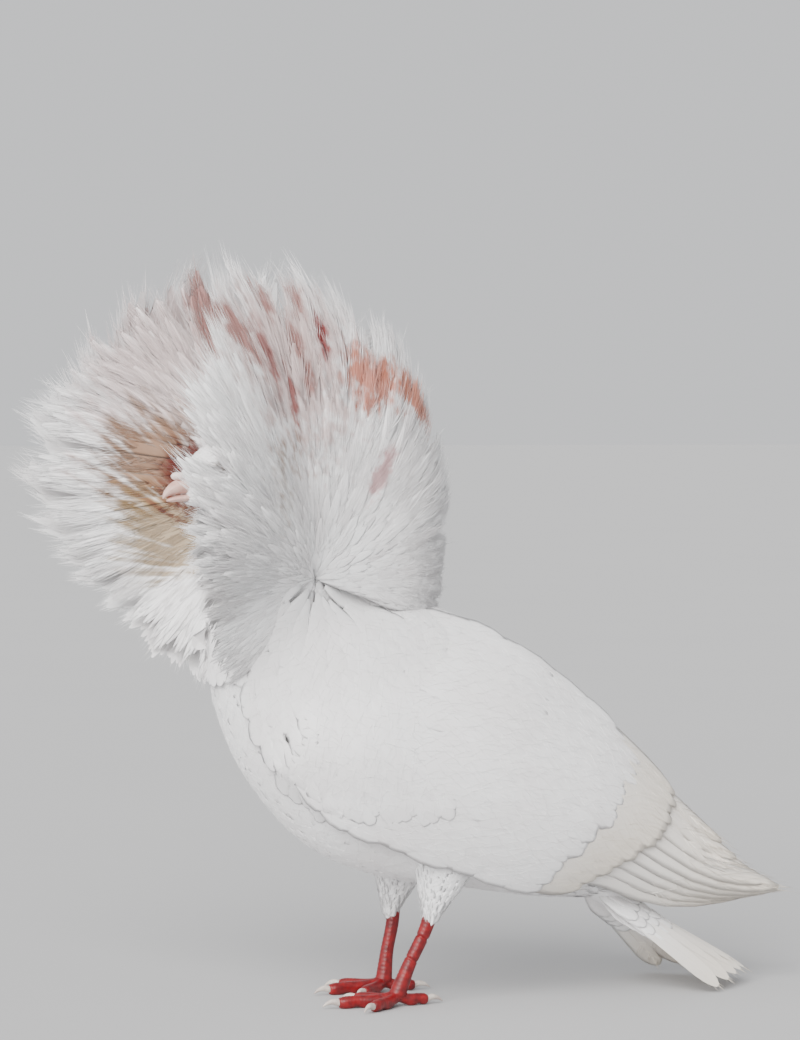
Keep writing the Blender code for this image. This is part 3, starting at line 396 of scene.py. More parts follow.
def spines(surface, start, end, lift, facing, steps, sway=0.0, curl=0.0):
    """Middle lines of feathers over a surface, with the directions across and outwards.

    start and end are the surface's parameters at each root and tip. The line runs straight between
    them in those parameters, swayed by sway * t^2, and stands off by lift[0] + (lift[1] - lift[0]) *
    (1 - (1 - t)^2) + curl * t^3.
    """
    t = STATIONS[None, :]
    p = start[:, :1] + (end - start)[:, :1] * t + np.reshape(sway, (-1, 1)) * t ** 2
    q = start[:, 1:] + (end - start)[:, 1:] * t
    across = surface(p + steps[0], q) - surface(p - steps[0], q)
    ahead = surface(p, q + steps[1]) - surface(p, q - steps[1])
    normal = unit(np.cross(ahead, across)) * facing
    ease = 1 - (1 - np.minimum(t, 1)) ** 2
    low, high = (np.reshape(value, (-1, 1)) for value in lift)
    off = low + (high - low) * ease + np.reshape(curl, (-1, 1)) * t ** 3
    line = surface(p, q) + normal * off[..., None]
    along = unit(np.gradient(line, axis=1))
    side = unit(np.cross(normal, along))
    return line, side, np.cross(along, side)


def at(spine, t):
    """Points and directions of the middle lines at places t, given as (feather, any other axes)."""
    count = len(t)
    place = np.clip(t, 0, STATIONS[-1] - 1e-6) / STATIONS[1]
    cell = place.astype(int)
    share = (place - cell)[..., None]
    feather = np.arange(count).reshape((count,) + (1,) * (t.ndim - 1))
    return [part[feather, cell] * (1 - share) + part[feather, cell + 1] * share for part in spine]


def feather_values(roots, tone, patch, t, v, size):
    """What each point of a feather keeps: its root, its tone, its place on the feather and its bake patch."""
    shape = np.broadcast(t, v).shape
    lead = (len(roots),) + (1,) * (len(shape) - 1)
    t, v = np.broadcast_to(t, shape), np.broadcast_to(v, shape)
    root = np.broadcast_to(roots.reshape(lead + (3,)), shape + (3,))
    uv = np.stack((patch[:, 0].reshape(lead) + v * PATCH * 0.45,
                   patch[:, 1].reshape(lead) + (t - 0.5) * PATCH), axis=-1)
    lie = np.stack((v * size[0], t * size[1], t), axis=-1)
    return {"root": root, "tone": np.broadcast_to(tone, shape), "uv": uv, "lie": lie}


def add_vanes(joined, spine, half, outline, places, tone, patch, thick, camber, length):
    """Closed vanes: a thin lens whose edges droop by camber times half its width.

    Across the vane v runs from -1 to 1, its half width follows the outline (share of length, share of
    width), and its top stands thick * (1 - v^2) over its edge, thinning towards the tip as 1 - 0.8 t^3.
    """
    t = np.broadcast_to(np.array(places), (len(half), len(places)))
    line, side, normal = (part[:, :, None] for part in at(spine, t))
    v = np.array((-1.0, -0.55, 0.0, 0.55, 1.0, 0.0))
    under = np.array((0, 0, 0, 0, 0, 1.0))
    width = (np.interp(t, *zip(*outline)) * half[:, None])[..., None]
    thin = thick * (1 - 0.8 * t[..., None] ** 3)
    height = thin * ((1 - v ** 2) * 0.6 - under * 1.1) - camber * width * v ** 2
    rings = line + side * (width * v)[..., None] + normal * height[..., None]
    values = feather_values(spine[0][:, 0], tone[:, None, None], patch, t[..., None], v[None, None],
                            (np.mean(half), length))
    joined.add(rings, 5, **values)


def add_barbs(joined, spine, half, count, rng, tone, patch, start, spread, fluff, thin, rows, ragged=0.06,
              gather=0.0):
    """Loose barbs: thin three sided strands that leave the shaft and end in points past the vane.

    A strand at v from -1 to 1 runs from t0 to t1 = 1.03 - 0.24 |v|^2.2 and moves out to v * half *
    spread as 1 - (1 - s)^1.5, drawing in again by gather * s^2.5 so that a plume ends in a lock, and
    lifting by its own fluff * s^2. fluff, gather and thin may be given for each feather.
    """
    feathers = len(half)
    v = np.linspace(-1, 1, count)[None] + rng.uniform(-0.9, 0.9, (feathers, count)) / count
    tip = 1.03 - 0.24 * np.abs(v) ** 2.2 + rng.uniform(-ragged, ragged, (feathers, count))
    root = start + 0.25 * (1 - np.abs(v)) + rng.uniform(-0.06, 0.06, (feathers, count))
    root = np.minimum(root, tip - 0.12)
    s = np.linspace(0, 1, rows)
    t = root[..., None] + (tip - root)[..., None] * s
    line, side, normal = (part[:, :, :, None] for part in at(spine, t))
    each = np.broadcast_to(np.reshape(gather, (-1, 1, 1)), (feathers, 1, 1))
    close = 1 - each * rng.uniform(0.4, 1.15, (feathers, count, 1)) * s ** 2.5
    move = v[..., None] * spread * (1 - (1 - s) ** 1.5) * close * half[:, None, None]
    loose = np.broadcast_to(np.reshape(fluff, (-1, 1, 1)), (feathers, 1, 1))
    thin = np.reshape(thin, (-1, 1, 1))
    lift = rng.uniform(-0.35, 1.0, (feathers, count, 1)) * loose * s ** 2 + 0.8 * thin
    sway = rng.normal(0, 0.35, (feathers, count, 1)) * loose * s ** 2
    radius = thin * (1.04 - s ** 1.6)
    turn = np.radians((90, 210, 330))
    around = side * np.cos(turn)[:, None] * 1.3 + normal * np.sin(turn)[:, None]
    rings = (line + side * (move + sway)[..., None, None] + normal * lift[..., None, None]
             + radius[..., None, None] * around)
    own = tone[:, None, None, None] + rng.normal(0, 0.25, (feathers, count, 1, 1))
    place = np.broadcast_to(v[..., None, None] * 0.8, rings.shape[:-1])
    values = feather_values(spine[0][:, 0], own, patch, t[..., None], place, (np.mean(half), BARB_LENGTH))
    joined.add(rings.reshape(-1, rows, 3, 3),
               **{key: value.reshape((-1, rows, 3) + value.shape[4:]) for key, value in values.items()})


# Outlines of vanes, as share of length and share of width
SOFT_OUTLINE = ((0.0, 0.25), (0.25, 0.62), (0.55, 0.95), (0.75, 1.0), (0.90, 0.80), (1.0, 0.30))
PLUME_OUTLINE = ((0.0, 0.35), (0.3, 0.80), (0.6, 1.0), (0.78, 0.70), (0.90, 0.22), (1.0, 0.04))
BLADE_OUTLINE = ((0.0, 0.30), (0.3, 0.60), (0.55, 1.0), (0.75, 0.80), (0.92, 0.20), (1.0, 0.04))
FLIGHT_OUTLINE = ((0.0, 0.30), (0.2, 0.70), (0.5, 0.95), (0.8, 1.0), (0.92, 0.80), (0.98, 0.45), (1.0, 0.22))


# Ruff

# Tiers of plumes from the rim in to the rose: step in degrees, reach of root and tip, lift of root
# and tip, half width, number of loose barbs
SHELL_TIERS = (
    (1.9, 0.50, 1.015, -0.0040, 0.0000, 0.0036, 14), (2.0, 0.46, 0.975, -0.0036, 0.0006, 0.0038, 14),
    (2.1, 0.41, 0.930, -0.0032, 0.0011, 0.0039, 13), (2.3, 0.36, 0.870, -0.0028, 0.0015, 0.0041, 12),
    (2.6, 0.30, 0.800, -0.0024, 0.0018, 0.0042, 12), (3.0, 0.24, 0.710, -0.0020, 0.0020, 0.0042, 12),
    (3.5, 0.18, 0.610, -0.0016, 0.0022, 0.0041, 12), (4.2, 0.12, 0.510, -0.0012, 0.0023, 0.0038, 10),
    (5.2, 0.07, 0.410, -0.0008, 0.0024, 0.0034, 8), (6.8, 0.04, 0.310, -0.0003, 0.0025, 0.0030, 8),
    (9.0, 0.02, 0.210, 0.0002, 0.0026, 0.0024, 6),
)
LINING_TIERS = (
    (1.9, 0.40, 1.000, 0.0020, -0.0003, 0.0036, 14), (2.1, 0.36, 0.950, 0.0020, 0.0004, 0.0038, 14),
    (2.4, 0.31, 0.880, 0.0020, 0.0010, 0.0038, 14), (2.8, 0.26, 0.790, 0.0020, 0.0016, 0.0038, 13),
    (3.3, 0.20, 0.690, 0.0020, 0.0023, 0.0036, 12), (4.0, 0.14, 0.580, 0.0020, 0.0030, 0.0034, 12),
    (5.0, 0.09, 0.470, 0.0020, 0.0036, 0.0030, 10), (5.0, -0.12, 0.370, 0.0020, 0.0042, 0.0030, 8),
    (5.0, -0.24, 0.250, 0.0010, 0.0044, 0.0030, 8),
)
# Long loose blades that stand out along the hood
BLADES = ((4.6, 0.50, 1.020, -0.0010, 0.0030, 0.0042, 20), (5.3, 0.42, 0.900, -0.0006, 0.0034, 0.0042, 18))
BLADE_ANGLES = (62, 128)
# Plumes that lie over the parting between chain and hood, and its angle
COVERS = ((1.5, 0.50, 0.985, -0.0010, 0.0004, 0.0050, 14), (1.8, 0.42, 0.900, -0.0008, 0.0010, 0.0050, 14),
          (2.2, 0.32, 0.780, -0.0006, 0.0014, 0.0048, 14))
COVER_ANGLES = (36, 66)
PARTING_ANGLE = 60
# Fans: at the rim the plumes gather in groups about this many degrees wide
FAN_STEP = 9.0
# Share of the way to its fan's middle that a tip turns, and the reach that a plume at the fan's edge lacks
FAN_TURN = 0.34
FAN_EDGE = 0.10
# Stretches of rim that are lower or higher than the rest: middle and width in degrees, share of reach
RIM_TRIM = ((93, 13, -0.05), (67, 9, 0.03), (51, 7, 0.04))
# The near chain reaches further over the face, and its lining less far: middle and width of that stretch
# in degrees, how much further the chain reaches, and the share that the lining loses
FACE_COVER = (44, 22, 0.10, 0.32)
# Looseness up to which plumes lie calm, and the few loose barbs that each of those has
CALM = 0.10
CALM_BARBS = 3


def fan_pull(angle, rng):
    """What a plume takes from its fan: the turn of its tip towards the fan's middle and with the whole fan,
    its share of full reach, shorter at the fan's edge, and how much higher the fan lies than the others.

    The turn is a share of the way to the middle plus the fan's own, times 1 - exp(-d^2), with d the distance
    from 6 degrees before the parting in steps of 12 degrees, so that no gap opens there.
    """
    middles = np.arange(CHAIN_START - 6, MANE_END + 10, FAN_STEP)
    middles = middles + rng.uniform(-0.3, 0.3, len(middles)) * FAN_STEP
    turned, longer, higher = (rng.uniform(low, high, len(middles))
                              for low, high in ((-2.5, 2.5), (-0.03, 0.03), (0, 1)))
    near = np.abs(angle[:, None] - middles).argmin(axis=1)
    off = middles[near] - angle
    reach = 1 + longer[near] - FAN_EDGE * (np.abs(off) / FAN_STEP * 2) ** 2
    free = 1 - np.exp(-((angle - PARTING_ANGLE + 6) / 12) ** 2)
    return (off * FAN_TURN + turned[near]) * free, reach, higher[near]


def drift(angle):
    """Slow bend of the tips along the rim: three sines of the angle, in degrees."""
    return 2.2 * np.sin(angle / 9) + 1.4 * np.sin(angle / 4.3 + 1) + 0.9 * np.sin(angle / 2.3 + 2)


def looseness(angle, strength):
    """How loose the plumes are: full at the rim of chain and hood, little near the rose, under the chain
    and on the mane's flat sides.
    """
    calm = soft_step(angle, -22, 16) * (1 - 0.8 * soft_step(angle, 150, 172))
    side = 1 - 0.6 * soft_step(angle, 118, 140) * (1 - strength ** 4)
    return (0.12 + 0.88 * strength ** 2) * (0.10 + 0.90 * calm) * side


def ruff_plumes(side, surface, tiers, first, last, facing, seed, corner):
    """All plumes of one side's shell or lining, as a list of spines with their sizes, angles and patches."""
    rows = []
    fans = np.random.default_rng(SEED)
    pull_seed = fans.integers(1000)
    for number, (step, root, tip, low, high, half, barbs) in enumerate(tiers):
        rng = np.random.default_rng((SEED, seed, number))
        angle = np.arange(first, last, step) + step * (number % 2) / 2
        angle = angle + rng.uniform(-0.3, 0.3, len(angle)) * step
        pull, shorter, higher = fan_pull(angle, np.random.default_rng(pull_seed))
        strength = soft_step(tip, 0.35, 1.0) * np.ones(len(angle))
        loose = looseness(angle, strength)
        end = angle + pull * loose + rng.normal(0, 0.5, len(angle))
        reach = tip * (1 + (shorter - 1) * strength) + rng.normal(0, 0.016, len(angle))
        for middle, wide, share in RIM_TRIM:
            reach = reach + share * strength * np.exp(-((angle - middle) / wide) ** 2)
        over_face = np.exp(-((angle - FACE_COVER[0]) / FACE_COVER[1]) ** 2)
        if side < 0 and facing == side:
            reach = reach + FACE_COVER[2] * strength * over_face
        if side < 0 and facing == -side:
            reach = reach * (1 - FACE_COVER[3] * strength * over_face)
        roots = root + rng.normal(0, 0.02, len(angle))
        distance = np.interp(angle, RIM_CURVE[:, 0], RIM_CURVE[:, 1])
        width = half * np.clip(distance / 0.115, 0.62, 1.15) * rng.uniform(0.85, 1.15, len(angle))
        flat = 0.2 + 0.8 * np.sqrt(loose)
        low, high = low * flat, high * flat + 0.0016 * higher * loose
        lift = (low + rng.normal(0, 0.0001, len(angle)),
                high + rng.normal(0, 1, len(angle)) * (0.00005 + 0.0004 * loose))
        start = np.stack((angle, np.maximum(roots, min(root, 0.01))), axis=1)
        sway = (drift(angle + 3 * number) * 0.8 + rng.normal(0, 1.1, len(angle))) * loose
        spine = spines(surface, start, np.stack((end, reach), axis=1), lift, facing, (1.5, 0.004), sway=sway,
                       curl=(0.0006 + rng.normal(0, 0.0012, len(angle))) * loose + SINK * (1 - loose))
        patch = np.stack((corner + 0.46 * (angle + 64) / 270, 0.04 + 0.9 * np.maximum(roots, 0)), axis=1)
        tone = rng.normal(0, 0.3, len(angle))
        rows.append({"angle": angle, "spine": spine, "half": width, "tone": tone, "patch": patch,
                     "barbs": barbs, "rng": rng, "loose": loose})
    return rows


def add_plumes(joined, rows, first=-90, last=270, outline=PLUME_OUTLINE, gather=0.75):
    """Adds the plumes from one angle up to another: a soft vane and loose barbs each, few where they are
    calm.
    """
    for row in rows:
        chosen = (row["angle"] >= first) & (row["angle"] < last)
        if not chosen.any():
            continue
        spine = [part[chosen] for part in row["spine"]]
        half, tone, patch, loose = (row[key][chosen] for key in ("half", "tone", "patch", "loose"))
        add_vanes(joined, spine, half, outline, (0, 0.20, 0.42, 0.62, 0.78, 0.92), tone, patch, 0.00010,
                  0.07, 0.06)
        own = gather * row["rng"].uniform(0.1, 1.0, len(loose)) * (0.3 + 0.7 * loose)
        fluff, thin = 0.00008 + 0.0028 * loose, 0.00007 + 0.00019 * np.sqrt(loose)
        for some, count in ((loose > CALM, row["barbs"]), (loose <= CALM, CALM_BARBS)):
            if some.any():
                add_barbs(joined, [part[some] for part in spine], half[some], count, row["rng"], tone[some],
                          patch[some], start=0.34, spread=1.6, fluff=fluff[some], thin=thin[some], rows=4,
                          ragged=0.09, gather=own[some])


def build_ruff(material):
    """Chain and hood on each side, each with its shell and lining, and the mane's shell at the back."""
    mane = Joined()
    for side, word in SIDES:
        corner = 0.02 if side < 0 else 0.52
        shell, blades, covers = (
            ruff_plumes(side, shell_surface(side), tiers, first, last, side, seed + side, corner)
            for tiers, first, last, seed in ((SHELL_TIERS, CHAIN_START, MANE_END, 10),
                                             (BLADES, *BLADE_ANGLES, 30), (COVERS, *COVER_ANGLES, 40)))
        lining = ruff_plumes(side, lining_surface(side), LINING_TIERS, CHAIN_START, LINING_END, -side,
                             20 + side, corner)
        chain, hood, inner = Joined(), Joined(), Joined()
        add_plumes(chain, covers)
        add_plumes(chain, shell, last=HOOD_START)
        add_plumes(hood, shell, HOOD_START, MANE_START)
        add_plumes(hood, blades, outline=BLADE_OUTLINE, gather=0.5)
        add_plumes(inner, lining)
        add_plumes(mane, shell, first=MANE_START)
        show(chain, f"ruff_chain_{word}", material, (f"chain_{word}",))
        show(hood, f"ruff_hood_{word}", material, (f"hood_{word}",))
        show(inner, f"ruff_lining_{word}", material)
    show(mane, "ruff_mane", material, ("mane",))


# Body

def same(value):
    """A function that gives each place the same value."""
    return lambda place: np.full(len(place), value)


def rows_over(surface, first, last, spacing, length, half, lift, step, rng, corner):
    """Contour feathers in staggered rows over a tube, from first to last along it.

    Rows stand one spacing apart, and in a row the feathers stand one spacing apart round it. The tips
    bend inwards by SINK, so that each lies against the feather under it. length and half are functions
    of the root's place, step is the share along which the surface's direction is measured, and corner
    is the bake map's corner and size for the rows.
    """
    line = surface(np.full(60, 0.5), np.linspace(first, last, 60))
    line = np.maximum(np.linalg.norm(np.diff(line, axis=0), axis=1), 1e-6)
    back = surface(np.zeros(60), np.linspace(first, last, 60))
    back = np.linalg.norm(np.diff(back, axis=0), axis=1)
    total = max(line.sum(), back.sum())
    start = []
    for number, along in enumerate(np.linspace(first, last, max(2, int(total / spacing)))):
        ring = surface(np.linspace(0, 1, 41), np.full(41, along))
        count = max(5, int(np.linalg.norm(np.diff(ring, axis=0), axis=1).sum() / spacing))
        turn = (np.arange(count) + (number % 2) / 2 + rng.uniform(-0.22, 0.22, count)) / count
        place = np.full(count, along) + rng.uniform(-0.35, 0.35, count) * (last - first) * spacing / total
        start.append(np.stack((turn, place), axis=1))
    start = np.concatenate(start)
    here = surface(start[:, 0], start[:, 1])
    pace = surface(start[:, 0], start[:, 1] + 0.01) - surface(start[:, 0], start[:, 1] - 0.01)
    pace = np.linalg.norm(pace, axis=1) / 0.02
    count = len(start)
    sizes = length(here) * rng.uniform(0.88, 1.12, count)
    reach = np.minimum(sizes / np.maximum(pace, 0.25 * pace.max()), 0.5)
    end = start + np.stack((rng.normal(0, 0.004, count), reach), axis=1)
    lift = (lift[0], lift[1] + rng.normal(0, 0.00003, count))
    spine = spines(surface, start, end, lift, 1, (0.01, step), curl=SINK)
    return {"spine": spine, "half": half(here) * rng.uniform(0.9, 1.1, count),
            "tone": rng.normal(0, 0.08, count), "patch": np.array(corner[:2]) + start * np.array(corner[2:]),
            "root": here, "along": start[:, 1]}


def chosen_rows(rows, keep):
    """The rows' feathers that pass a test."""
    return {key: [part[keep] for part in value] if key == "spine" else value[keep]
            for key, value in rows.items()}


def add_contour(joined, rows, rng, barbs, thick=0.00005, camber=0.08, fluff=0.0001):
    """Adds contour feathers: a rounded vane, and a few loose barbs at its end."""
    add_vanes(joined, rows["spine"], rows["half"], SOFT_OUTLINE, (0, 0.30, 0.58, 0.82, 0.95, 1.0),
              rows["tone"], rows["patch"], thick, camber, 0.015)
    add_barbs(joined, rows["spine"], rows["half"], barbs, rng, rows["tone"], rows["patch"], start=0.5,
              spread=1.05, fluff=fluff, thin=0.00009, rows=3)


def build_body(material):
    """Contour feathers over the torso, the neck's root, the slim neck and the thighs."""
    rng = np.random.default_rng(SEED + 1)
    torso = rows_over(torso_surface, 0.0, 0.99, 0.0058, same(0.0190), same(0.0062), (-0.0006, 0.0002), 0.01,
                      rng, (0.05, 0.05, 0.55, 0.55))
    front = torso["along"] < 0.42
    fore, rear = Joined(), Joined()
    add_contour(fore, chosen_rows(torso, front), rng, 3)
    add_contour(rear, chosen_rows(torso, ~front), rng, 2)
    neck = rows_over(neck_surface, 0.0, 0.80, 0.0052, same(0.0170), same(0.0056), (-0.0006, 0.0002), 0.02,
                     rng, (0.05, 0.65, 0.4, 0.12))
    add_contour(fore, neck, rng, 3)
    stem = rows_over(stem_surface, 0.05, 0.9, 0.0050, same(0.0130), same(0.0042), (-0.0008, 0.0008), 0.02,
                     rng, (0.05, 0.80, 0.4, 0.12))
    add_contour(fore, stem, rng, 3)
    for side, word in SIDES:
        thigh = rows_over(thigh_surface(word, side), 0.10, 0.93, 0.0040, same(0.0120), same(0.0040),
                          (-0.0006, 0.0003), 0.02, rng, (0.70, 0.3 + 0.25 * side, 0.2, 0.2))
        add_contour(rear, thigh, rng, 4, camber=0.14, fluff=0.0004)
    show(fore, "breast_feathers", material)
    show(rear, "back_feathers", material)


# Grid over the side of the bird: size of a cell, its range in x and in height, width of the blur in
# cells, and how often it is smoothed again
FLANK_CELL = 0.0025
FLANK_X = (-0.130, 0.050)
FLANK_Z = (0.080, 0.222)
FLANK_BLUR = 2.6
FLANK_SMOOTHINGS = 8
# Shoulder feathers: range of their roots in x and in height, distance from root to root, and length
SHOULDER_AREA = ((-0.112, -0.004), (0.112, 0.216))
SHOULDER_SPACING = 0.0048
SHOULDER_LENGTH = 0.021


def flank_heights(side):
    """How far the side of the bird stands out from its middle plane, on a grid of x and height.

    Each cell takes the outermost of torso, neck, wing and lower chain. The grid is then blurred with a
    Gaussian, the higher of the two kept and smoothed again, so that the steps between them become soft
    slopes. The middle of the grid is raised by 2.6 mm. Given back with it are how full each cell is, and
    how far the result stands off torso, neck and wing, which fades to 0.6 mm at the front and below.
    """
    x = np.arange(*FLANK_X, FLANK_CELL)
    z = np.arange(*FLANK_Z, FLANK_CELL)
    heights = np.zeros((len(x), len(z)))
    half_turn = np.linspace(0, 0.5, 90) * side
    for surface, first, second in ((torso_surface, half_turn, np.linspace(0, 1, 260)),
                                   (neck_surface, half_turn, np.linspace(0, 1, 60)),
                                   (wing_surface(side), np.linspace(0, 1, 110), np.linspace(0, 0.5, 130)),
                                   (shell_surface(side), np.linspace(-60, 4, 90), np.linspace(0, 0.93, 70))):
        body = heights.copy()
        points = surface(*np.meshgrid(first, second)).reshape(-1, 3) + MIDDLE
        i = np.rint((points[:, 0] - FLANK_X[0]) / FLANK_CELL).astype(int)
        j = np.rint((points[:, 2] - FLANK_Z[0]) / FLANK_CELL).astype(int)
        inside = (i >= 0) & (i < len(x)) & (j >= 0) & (j < len(z))
        np.maximum.at(heights, (i[inside], j[inside]), side * points[inside, 1])
    reach = np.arange(-9, 10)
    bell = np.exp(-(reach / FLANK_BLUR) ** 2 / 2)
    bell /= bell.sum()
    blurred, solid = heights, (heights > 0.002).astype(float)
    for axis in (0, 1):
        blurred = np.apply_along_axis(np.convolve, axis, blurred, bell, "same")
        solid = np.apply_along_axis(np.convolve, axis, solid, bell, "same")
    blurred = blurred / np.maximum(solid, 0.3)
    small = np.array((0.25, 0.5, 0.25))
    result = np.maximum(heights, blurred)
    for axis in (0, 1) * FLANK_SMOOTHINGS:
        padded = np.pad(result, 1, mode="edge")
        result = np.apply_along_axis(np.convolve, axis, padded, small, "same")[1:-1, 1:-1]
    inner = soft_step(x, -0.110, -0.085)[:, None] * (1 - soft_step(x, -0.045, 0.004))[:, None]
    inner = inner * soft_step(z, 0.092, 0.118)
    result = result + 0.0026 * inner - 0.0002
    close = soft_step(x, -0.104, -0.066)[:, None] * soft_step(z, 0.098, 0.130)
    result = body + (result - body) * close + 0.0006 * (1 - close)
    return result, solid, result - body


def read_grid(grid, x, z):
    """A grid over the flank read between its cells, weighted by how near each of the four is."""
    i = np.clip((x - FLANK_X[0]) / FLANK_CELL, 0, grid.shape[0] - 1.001)
    j = np.clip((z - FLANK_Z[0]) / FLANK_CELL, 0, grid.shape[1] - 1.001)
    a, b = i.astype(int), j.astype(int)
    u, v = i - a, j - b
    low = grid[a, b] * (1 - u) + grid[a + 1, b] * u
    high = grid[a, b + 1] * (1 - u) + grid[a + 1, b + 1] * u
    return low * (1 - v) + high * v


def build_flanks(material):
    """Smooth feathers from the chain and the shoulder over the wing's wrist, one layer on each side.

    They point away from the rose near it, and down and back further off.
    """
    for side, word in SIDES:
        rng = np.random.default_rng(SEED + 6)
        heights, solid, gap = flank_heights(side)
        surface = lambda x, z: moved(x, side * read_grid(heights, x, z), z)
        x, z = np.meshgrid(*(np.arange(first, last, SHOULDER_SPACING) for first, last in SHOULDER_AREA))
        x, z = (value.ravel() + rng.uniform(-0.0018, 0.0018, value.size) for value in (x, z))
        rose = ruff_world(0.0, side * ROSE_HALF_WIDTH, ROSE_HEIGHT) + MIDDLE
        away = np.stack((x - rose[0], z - rose[2]), axis=1)
        near = np.exp(-(np.linalg.norm(away, axis=1) / 0.080) ** 2)[:, None]
        way = unit(near * unit(away) + (1 - near) * np.array((0.62, -0.78)))
        start = np.stack((x, z), axis=1)
        end = start + way * SHOULDER_LENGTH * rng.uniform(0.9, 1.1, len(x))[:, None]
        keep = (read_grid(solid, x, z) > 0.93) & (read_grid(solid, end[:, 0], end[:, 1]) > 0.80)
        keep &= (np.linalg.norm(away, axis=1) > 0.005) & (read_grid(heights, x, z) > 0.024)
        limit = 0.0042 + 0.016 * soft_step(x, -0.085, -0.060)
        keep &= (read_grid(gap, x, z) < limit) & (read_grid(gap, end[:, 0], end[:, 1]) < limit)
        start, end = start[keep], end[keep]
        count = len(start)
        lift = (-0.0006, 0.0002 + rng.normal(0, 0.00003, count))
        spine = spines(surface, start, end, lift, side, (0.001, 0.001), curl=SINK)
        patch = np.stack((0.05 + 4.5 * (start[:, 0] + 0.13), 0.05 + 4.5 * (start[:, 1] - 0.08)), axis=1)
        rows = {"spine": spine, "half": np.full(count, 0.0052), "tone": rng.normal(0, 0.08, count),
                "patch": patch}
        coat = Joined()
        add_contour(coat, rows, rng, 2, camber=0.16)
        show(coat, f"shoulder_feathers_{word}", material)


def build_head_coat(material):
    """Short dense feathers on the head, from the bill back, smallest at the face."""
    rng = np.random.default_rng(SEED + 2)
    head = head_shape(HEAD)
    front = ruff_world(0.052, 0.0, 0.256)
    size = lambda place: 0.0030 + 0.10 * np.clip(np.linalg.norm(place - front, axis=1), 0, 0.045)
    rows = rows_over(head, 0.03, 0.93, 0.0017, size, lambda place: 0.30 * size(place) + 0.0003,
                     (-0.0005, 0.0003), 0.02, rng, (0.05, 0.93, 0.4, 0.05))
    keep = np.ones(len(rows["half"]), dtype=bool)
    for side, _ in SIDES:
        eye = ruff_world(EYE_PLACE[0], side * (EYE_PLACE[1] + 0.003), EYE_PLACE[2])
        middle = rows["spine"][0][:, 8]
        keep &= np.linalg.norm(rows["root"] - eye, axis=1) > 0.0058
        keep &= np.linalg.norm(middle - eye, axis=1) > 0.0052
    coat = Joined()
    add_contour(coat, chosen_rows(rows, keep), rng, 3, thick=0.00018, camber=0.2, fluff=0.0004)
    show(coat, "head_feathers", material)


# Skin

def rings_of(surface, turns, rows):
    """One closed tube over a surface, as rings for Joined."""
    turn, along = np.meshgrid(np.arange(turns) / turns, np.linspace(0, 1, rows))
    return surface(turn, along)[None]


def skin_sources():
    """Closed tubes of the flesh: torso, neck, head, thighs, and the cores under ruff, wings and tail."""
    joined = Joined()
    for surface, turns, rows in ((torso_surface, 48, 40), (neck_surface, 40, 10), (stem_surface, 24, 12),
                                 (head_shape(HEAD), 32, 24)):
        joined.add(rings_of(surface, turns, rows))
    for side, word in SIDES:
        joined.add(rings_of(thigh_surface(word, side), 24, 14))
        joined.add(ruff_core(side)[None])
        joined.add(wing_core(side)[None])
    joined.add(tail_core()[None])
    return joined.mesh("skin_sources")


def ruff_core(side):
    """The flesh under the ruff on one side: a flat lens between the shell and the neck."""
    angle = np.linspace(CHAIN_START + 2, MANE_END - 2, 40)[:, None]
    outs = np.array((0.06, 0.16, 0.26, 0.34, 0.38))[None]
    forward, across, up = ruff_parts(angle, outs)
    sink = np.array((0.003, 0.003, 0.004, 0.006, 0.010))[None]
    outer = ruff_world(forward, side * (across - sink), up)
    inner = ruff_world(forward, side * (across - sink - 0.006 - 0.010 * (1 - outs / 0.38)), up)
    return np.concatenate((outer, inner[:, ::-1]), axis=1)


def wing_core(side):
    """The wing's flesh: a rounded plate from the wrist back, under the coverts."""
    along = np.linspace(0.01, 0.50, 16)[:, None]
    down = np.linspace(0.14, 0.86, 9)[None]
    surface = wing_surface(side)
    rounding = np.sqrt(np.clip(1 - ((down - 0.5) / 0.38) ** 2 * 0.96, 0, 1))
    rounding = rounding * np.sin(np.pi * (0.10 + 0.84 * along / 0.5))
    outer = surface(down + 0 * along, along + 0 * down)
    inner = outer.copy()
    outer[..., 1] -= side * 0.0010
    inner[..., 1] -= side * (0.0015 + 0.010 * rounding)
    return np.concatenate((outer, inner[:, ::-1]), axis=1)


def tail_core():
    """The tail's flesh: a blade that thins from the rump into the fan."""
    along = np.linspace(-0.12, 0.38, 10)[:, None]
    share = 1 - soft_step(along, -0.1, 0.42)
    turn = np.linspace(0, 2 * np.pi, 16, endpoint=False)[None]
    middle = tail_surface(0 * along, along)
    wide = 0.004 + 0.012 * share
    deep = 0.0012 + 0.0105 * share
    points = np.repeat(middle, 16, axis=1)
    points[..., 1] += wide * np.cos(turn)
    points[..., 2] += deep * np.sin(turn) - 0.0015
    return points


def modified(mesh, *settings):
    """A mesh after modifiers, each given as its type and its settings."""
    item = bpy.data.objects.new("in_work", mesh)
    bpy.context.scene.collection.objects.link(item)
    for kind, values in settings:
        modifier = item.modifiers.new(kind, kind)
        for key, value in values.items():
            setattr(modifier, key, value)
    bpy.context.view_layer.update()
    result = bpy.data.meshes.new_from_object(item.evaluated_get(bpy.context.evaluated_depsgraph_get()))
    bpy.data.objects.remove(item)
    bpy.data.meshes.remove(mesh)
    return result


def one_skin(voxel, smoothings):
    """The modifiers that join closed pieces into one smooth skin."""
    return (("REMESH", {"mode": "VOXEL", "voxel_size": voxel, "use_smooth_shade": True}),
            ("SMOOTH", {"iterations": smoothings, "factor": 0.5}))


def points_of(mesh):
    """A mesh's points as an array."""
    points = np.empty(len(mesh.vertices) * 3)
    mesh.vertices.foreach_get("co", points)
    return points.reshape(-1, 3)


def normals_of(mesh):
    """A mesh's point normals as an array."""
    normals = np.empty(len(mesh.vertices) * 3)
    mesh.vertices.foreach_get("normal", normals)
    return normals.reshape(-1, 3)


